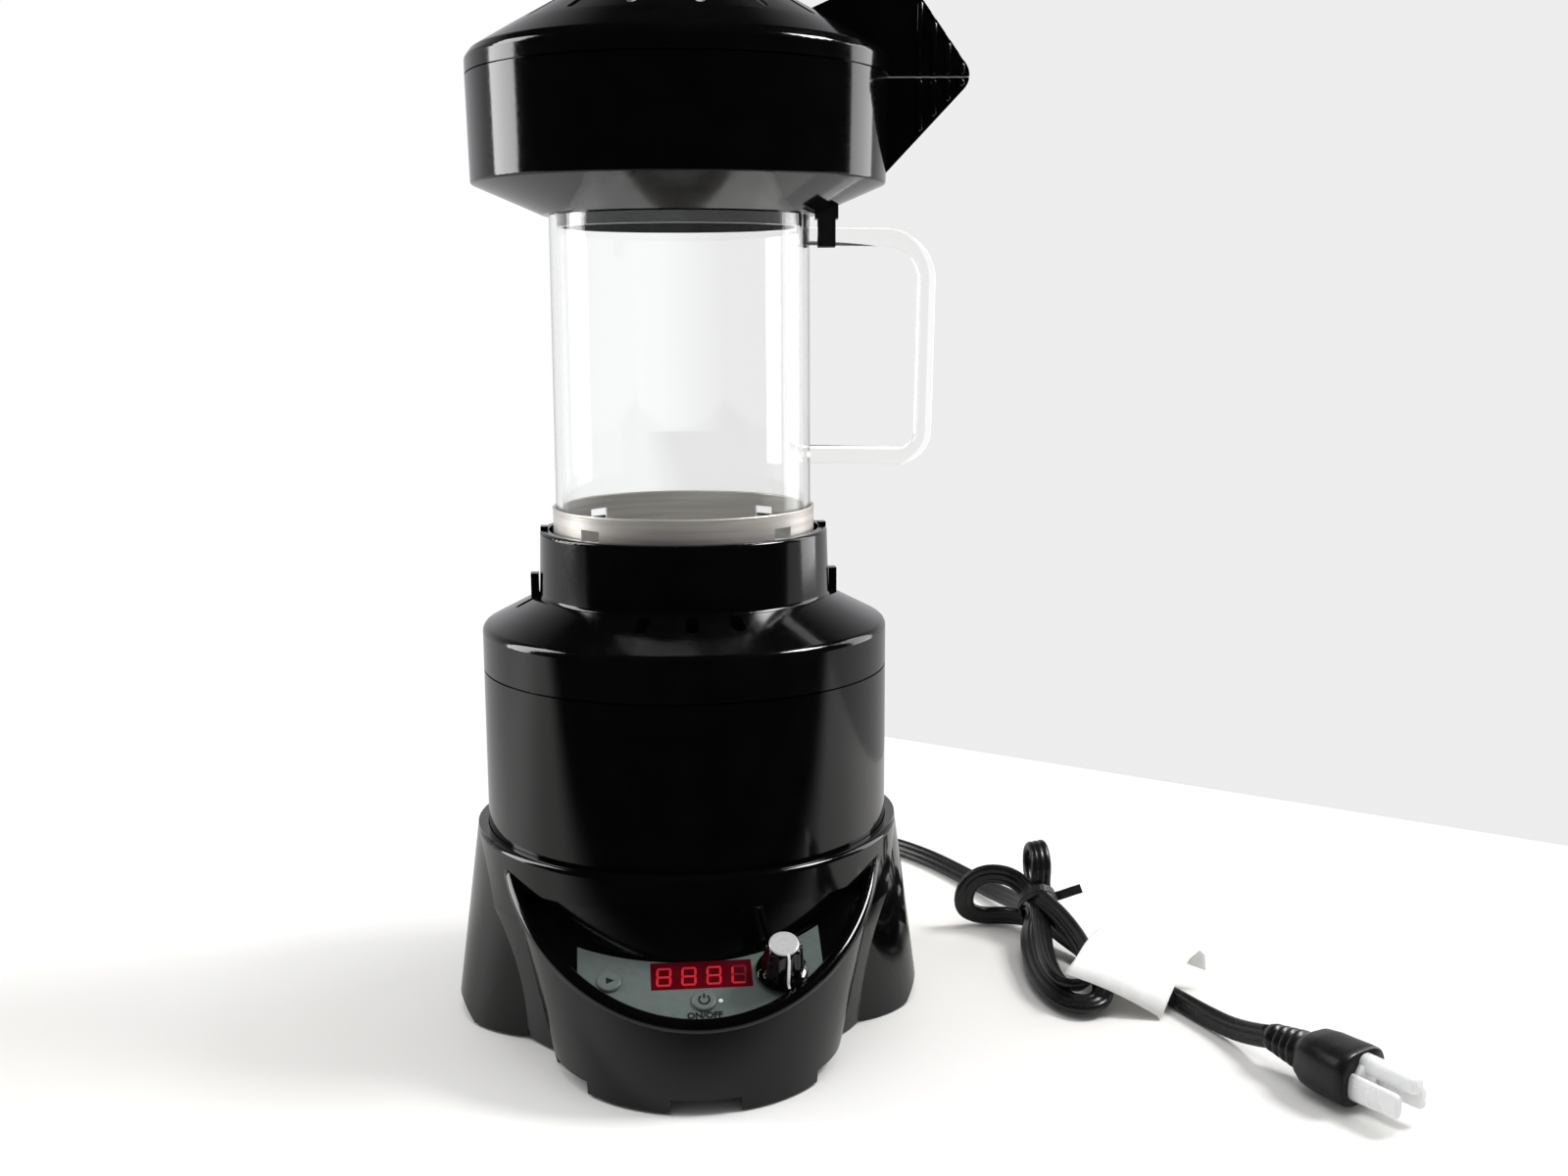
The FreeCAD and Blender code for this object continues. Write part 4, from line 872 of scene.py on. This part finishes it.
def make_tie():
    """Wire tie wound tightly round the bundle, one end left long."""
    route = []
    for index in range(TIE_STEPS + 1):
        angle = math.pi + FULL_TURN * TIE_TURNS * index / TIE_STEPS
        ring = TIE_ACROSS * math.cos(angle) + TIE_OVER * math.sin(angle)
        ahead = TIE_ADVANCE * (index / TIE_STEPS - 0.5)
        route.append((TIE_CENTRE + ring + TIE_ALONG * ahead) * MM)
    route += [Vector(point) * MM for point in TIE_END]
    shape = swept_tube(route, TIE_SECTION, TIE_ALONG)
    tie = mesh_object("wire_tie", shape, MATERIALS["tie_black"], "base", smooth=False)
    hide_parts("twist_tie")
    return tie


def tag_face(side):
    """Rows of points over one face of the label, side millimetres off its middle."""
    along = Vector(TAG_RIGHT[0]) - Vector(TAG_LEFT[0])
    last = len(TAG_LEFT) - 1
    rows = []
    for column in range(TAG_COLUMNS + 1):
        share = column / TAG_COLUMNS
        belly = Vector((0, 0, TAG_BELLY * math.sin(math.pi * share)))
        line = [Vector(a).lerp(Vector(b), share) + belly for a, b in zip(TAG_LEFT, TAG_RIGHT)]
        row = []
        for index, point in enumerate(line):
            slope = line[min(index + 1, last)] - line[max(index - 1, 0)]
            row.append((point + along.cross(slope).normalized() * side) * MM)
        rows.append(row)
    return rows


def make_tag():
    """Blank paper label bent over the lead: a sloping face, a curled ridge and a free rear edge."""
    wide = len(TAG_LEFT)
    vertices = [point for side in (-TAG_T / 2, TAG_T / 2) for row in tag_face(side) for point in row]
    offset = wide * (TAG_COLUMNS + 1)
    faces = []
    for column in range(TAG_COLUMNS):
        for index in range(wide - 1):
            a = column * wide + index
            faces.append((a, a + 1, a + 1 + wide, a + wide))
            faces.append((offset + a + wide, offset + a + 1 + wide, offset + a + 1, offset + a))
    edge = list(range(wide))
    edge += [column * wide + wide - 1 for column in range(1, TAG_COLUMNS + 1)]
    edge += [TAG_COLUMNS * wide + index for index in range(wide - 2, -1, -1)]
    edge += [column * wide for column in range(TAG_COLUMNS - 1, 0, -1)]
    for index, here in enumerate(edge):
        after = edge[(index + 1) % len(edge)]
        faces.append((here, offset + here, offset + after, after))
    tag = mesh_object("lead_label", (vertices, faces), MATERIALS["tag_white"], "base")
    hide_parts("cord_tag")
    return tag


def plug_place(point):
    turn = Matrix.Rotation(PLUG_YAW, 4, "Z")
    return (Vector((*PLUG_PLACE, PLUG_Z)) + turn @ Vector(point)) * MM


def plug_ring(x, centre, half, squared, count):
    """One ring across the plug: round where squared is 1, and squarer the smaller it is."""
    ring = []
    for index in range(count):
        angle = FULL_TURN * index / count
        c, s = math.cos(angle), math.sin(angle)
        y = centre[0] + math.copysign(abs(c) ** squared, c) * half[0]
        z = centre[1] + math.copysign(abs(s) ** squared, s) * half[1]
        ring.append(plug_place((x, y, z)))
    return ring


def make_plug():
    """Moulded plug: ribbed neck that swells into a waisted grip with a flat face."""
    neck = [PLUG_START]
    for step in range(PLUG_RIBS):
        ahead, grow = PLUG_RIB_PITCH * step, PLUG_RIB_GROW * step
        neck += [(x + ahead, wide + grow, high + grow) for x, wide, high in PLUG_RIB]
    rings = []
    for stations, squared in ((neck, 1.0), (PLUG_BODY, PLUG_BODY_SHAPE)):
        rings += [plug_ring(x, (0, 0), (wide, high), squared, PLUG_POINTS) for x, wide, high in stations]
    shape = lofted(rings, capped=True)
    body = mesh_object("plug_moulding", shape, MATERIALS["plug_black"], "base")
    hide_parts("plug_body")
    return body


def make_prong_cover():
    """Soft clear sleeves pushed over the blades and the ground pin, joined by a web."""
    parts = []
    for y, z, wide, high, reach in SLEEVES:
        stations = SLEEVE_FOOT + [(reach - back, grow) for back, grow in SLEEVE_TIP]
        rings = []
        for x, grow in stations:
            rings.append(plug_ring(x, (y, z), (wide * grow, high * grow), SLEEVE_SHAPE, SLEEVE_POINTS))
        parts.append(lofted(rings, capped=True))
    web = [[plug_place((x, y, z)) for y, z in SLEEVE_WEB] for x in SLEEVE_WEB_SPAN]
    parts.append(lofted(web, capped=True))
    cover = mesh_object("prong_sleeves", joined(parts), MATERIALS["cover_clear"], "base")
    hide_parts("prong_cover")
    return cover


# Floor, backdrop, lamps and camera
def combined(tree, operation, first, second):
    """A math node; each input is a number or another node's output."""
    node = tree.nodes.new("ShaderNodeMath")
    node.operation = operation
    for socket, value in zip(node.inputs, (first, second)):
        if isinstance(value, float):
            socket.default_value = value
        else:
            tree.links.new(value, socket)
    return node.outputs["Value"]


def eased(tree, value, low, high):
    node = tree.nodes.new("ShaderNodeMapRange")
    node.interpolation_type = "SMOOTHSTEP"
    node.inputs["From Min"].default_value = low
    node.inputs["From Max"].default_value = high
    tree.links.new(value, node.inputs["Value"])
    return node.outputs["Result"]


def mixed(tree, share, first, second):
    """The first shader where share is 0 and the second where it is 1."""
    node = tree.nodes.new("ShaderNodeMixShader")
    for socket, value in zip(node.inputs, (share, first, second)):
        tree.links.new(value, socket)
    return node.outputs["Shader"]


def backdrop_mask(tree, axes):
    """1 past the foot of the wall: a clear line on the right that fades out on the left."""
    along_x = combined(tree, "MULTIPLY", axes.outputs["X"], WALL_FACING[0])
    along_y = combined(tree, "MULTIPLY", axes.outputs["Y"], WALL_FACING[1])
    past = combined(tree, "SUBTRACT", combined(tree, "ADD", along_x, along_y), WALL_DISTANCE)
    sharp = eased(tree, past, *WALL_LINE)
    right = eased(tree, axes.outputs["X"], *WALL_LINE_FROM)
    soft = eased(tree, axes.outputs["Y"], *WALL_SOFT)
    left = combined(tree, "SUBTRACT", 1.0, right)
    return combined(
        tree, "ADD", combined(tree, "MULTIPLY", sharp, right), combined(tree, "MULTIPLY", soft, left)
    )


def floor_material():
    """Pale table that turns into the lit backdrop behind the object; in front of the object, reflections show
    it as a painted dark reflection, a flat dark emission in place of its lit colour.
    """
    material, tree, shader = new_material("pale_floor")
    vector = place(tree)
    broad = noise(tree, vector, FLOOR_GRAIN)
    tree.links.new(ramp(tree, broad, *FLOOR_COLOURS), shader.inputs["Base Color"])
    shader.inputs["Roughness"].default_value = FLOOR_ROUGH
    axes = tree.nodes.new("ShaderNodeSeparateXYZ")
    tree.links.new(vector, axes.inputs["Vector"])
    rays = tree.nodes.new("ShaderNodeLightPath")
    wall = tree.nodes.new("ShaderNodeEmission")
    tree.links.new(ramp(tree, axes.outputs["X"], WALL_LEFT, WALL_RIGHT, *WALL_TURN_LOW), wall.inputs["Color"])
    behind = mixed(tree, backdrop_mask(tree, axes), shader.outputs[0], wall.outputs[0])
    # Painted dark reflection: reflection rays in front of the object see this flat dark emission in place of
    # the floor's lit colour
    room = tree.nodes.new("ShaderNodeEmission")
    room.inputs["Color"].default_value = (*REFLECTED_DARK, 1.0)
    # Share of the painted dark reflection: it grows towards the camera's side and applies only to reflection
    # rays
    before = eased(tree, combined(tree, "MULTIPLY", axes.outputs["Y"], -1.0), *MIRROR_DIM_FROM)
    dim = eased(tree, before, -MIRROR_DIM, 1.0)
    mirrored = combined(tree, "SUBTRACT", rays.outputs["Is Glossy Ray"], rays.outputs["Is Transmission Ray"])
    painted_reflection_share = combined(tree, "MULTIPLY", dim, combined(tree, "MAXIMUM", mirrored, 0.0))
    whole = mixed(tree, painted_reflection_share, behind, room.outputs[0])
    tree.links.new(whole, tree.nodes["Material Output"].inputs["Surface"])
    return material


def make_floor():
    half = FLOOR_HALF
    corners = [(-half, -half, 0), (half, -half, 0), (half, half, 0), (-half, half, 0)]
    mesh = bpy.data.meshes.new("floor")
    mesh.from_pydata(corners, [], [(0, 1, 2, 3)])
    floor = bpy.data.objects.new("floor", mesh)
    bpy.context.scene.collection.objects.link(floor)
    mesh.materials.append(floor_material())


def make_world():
    """Soft light for surfaces, the backdrop for the camera and a darker room for reflections."""
    world = bpy.data.worlds.new("studio")
    bpy.context.scene.world = world
    world.use_nodes = True
    tree = world.node_tree
    lamp = tree.nodes["Background"]
    lamp.inputs["Color"].default_value = (*WORLD_COLOUR, 1.0)
    lamp.inputs["Strength"].default_value = WORLD_STRENGTH
    where = tree.nodes.new("ShaderNodeTexCoord")
    axes = tree.nodes.new("ShaderNodeSeparateXYZ")
    tree.links.new(where.outputs["Generated"], axes.inputs["Vector"])
    shown = tree.nodes.new("ShaderNodeBackground")
    wall = ramp(tree, axes.outputs["X"], WALL_LEFT, WALL_RIGHT, *WALL_TURN_HIGH)
    tree.links.new(wall, shown.inputs["Color"])
    mirrored = tree.nodes.new("ShaderNodeBackground")
    ceiling = combined(tree, "MULTIPLY", axes.outputs["Z"], CEILING_DIM)
    low_back = combined(tree, "SUBTRACT", axes.outputs["Y"], ceiling)
    tree.links.new(ramp(tree, low_back, REFLECTED_DARK, ROOM_LIGHT, *ROOM_TURN), mirrored.inputs["Color"])
    rays = tree.nodes.new("ShaderNodeLightPath")
    seen = combined(tree, "MAXIMUM", rays.outputs["Is Camera Ray"], rays.outputs["Is Transmission Ray"])
    unseen = mixed(tree, rays.outputs["Is Glossy Ray"], lamp.outputs[0], mirrored.outputs[0])
    whole = mixed(tree, seen, unseen, shown.outputs[0])
    tree.links.new(whole, tree.nodes["World Output"].inputs["Surface"])


def make_lamp(name, where, target, size, power, mirrored):
    light = bpy.data.lights.new(name, "AREA")
    light.shape = "RECTANGLE"
    light.size, light.size_y = size
    light.energy = power
    lamp = bpy.data.objects.new(name, light)
    lamp.location = where
    lamp.visible_glossy = mirrored
    lamp.rotation_euler = (Vector(target) - Vector(where)).to_track_quat("-Z", "Y").to_euler()
    bpy.context.scene.collection.objects.link(lamp)


def make_camera():
    data = bpy.data.cameras.new("camera")
    data.sensor_fit = "HORIZONTAL"
    data.sensor_width = SENSOR
    data.lens = LENS
    data.clip_start = CAMERA_NEAR
    camera = bpy.data.objects.new("camera", data)
    turn = Matrix.Rotation(CAMERA_TURN, 4, "Z") @ Matrix.Rotation(math.pi / 2 - CAMERA_DOWN, 4, "X")
    camera.matrix_world = Matrix.Translation(CAMERA_PLACE) @ turn @ Matrix.Rotation(CAMERA_ROLL, 4, "Z")
    bpy.context.scene.collection.objects.link(camera)
    bpy.context.scene.camera = camera


dress_nodes()
make_digits()
make_button_marks()
make_indicator()
make_overlay()
make_rim_bead()
make_knob_grip()
make_knob_pointer()
make_knob_disc()
make_wing_ribs()
make_ring_lip()
make_word("on_off_word", "ON/OFF", (POWER[0], POWER[1] - WORD_DROP), WORD_SIZE)
cord, cord_path = make_cord()
tie = make_tie()
tag = make_tag()
plug = make_plug()
cord_with = [plug, tie, tag, make_prong_cover()]
cord_with += [NODES[name] for name in ("cord_gland", "plug_blades", "plug_ground_pin")]
make_floor()
make_world()
for lamp_values in LAMPS:
    make_lamp(*lamp_values)
make_camera()
bpy.context.scene.view_settings.view_transform = "Standard"
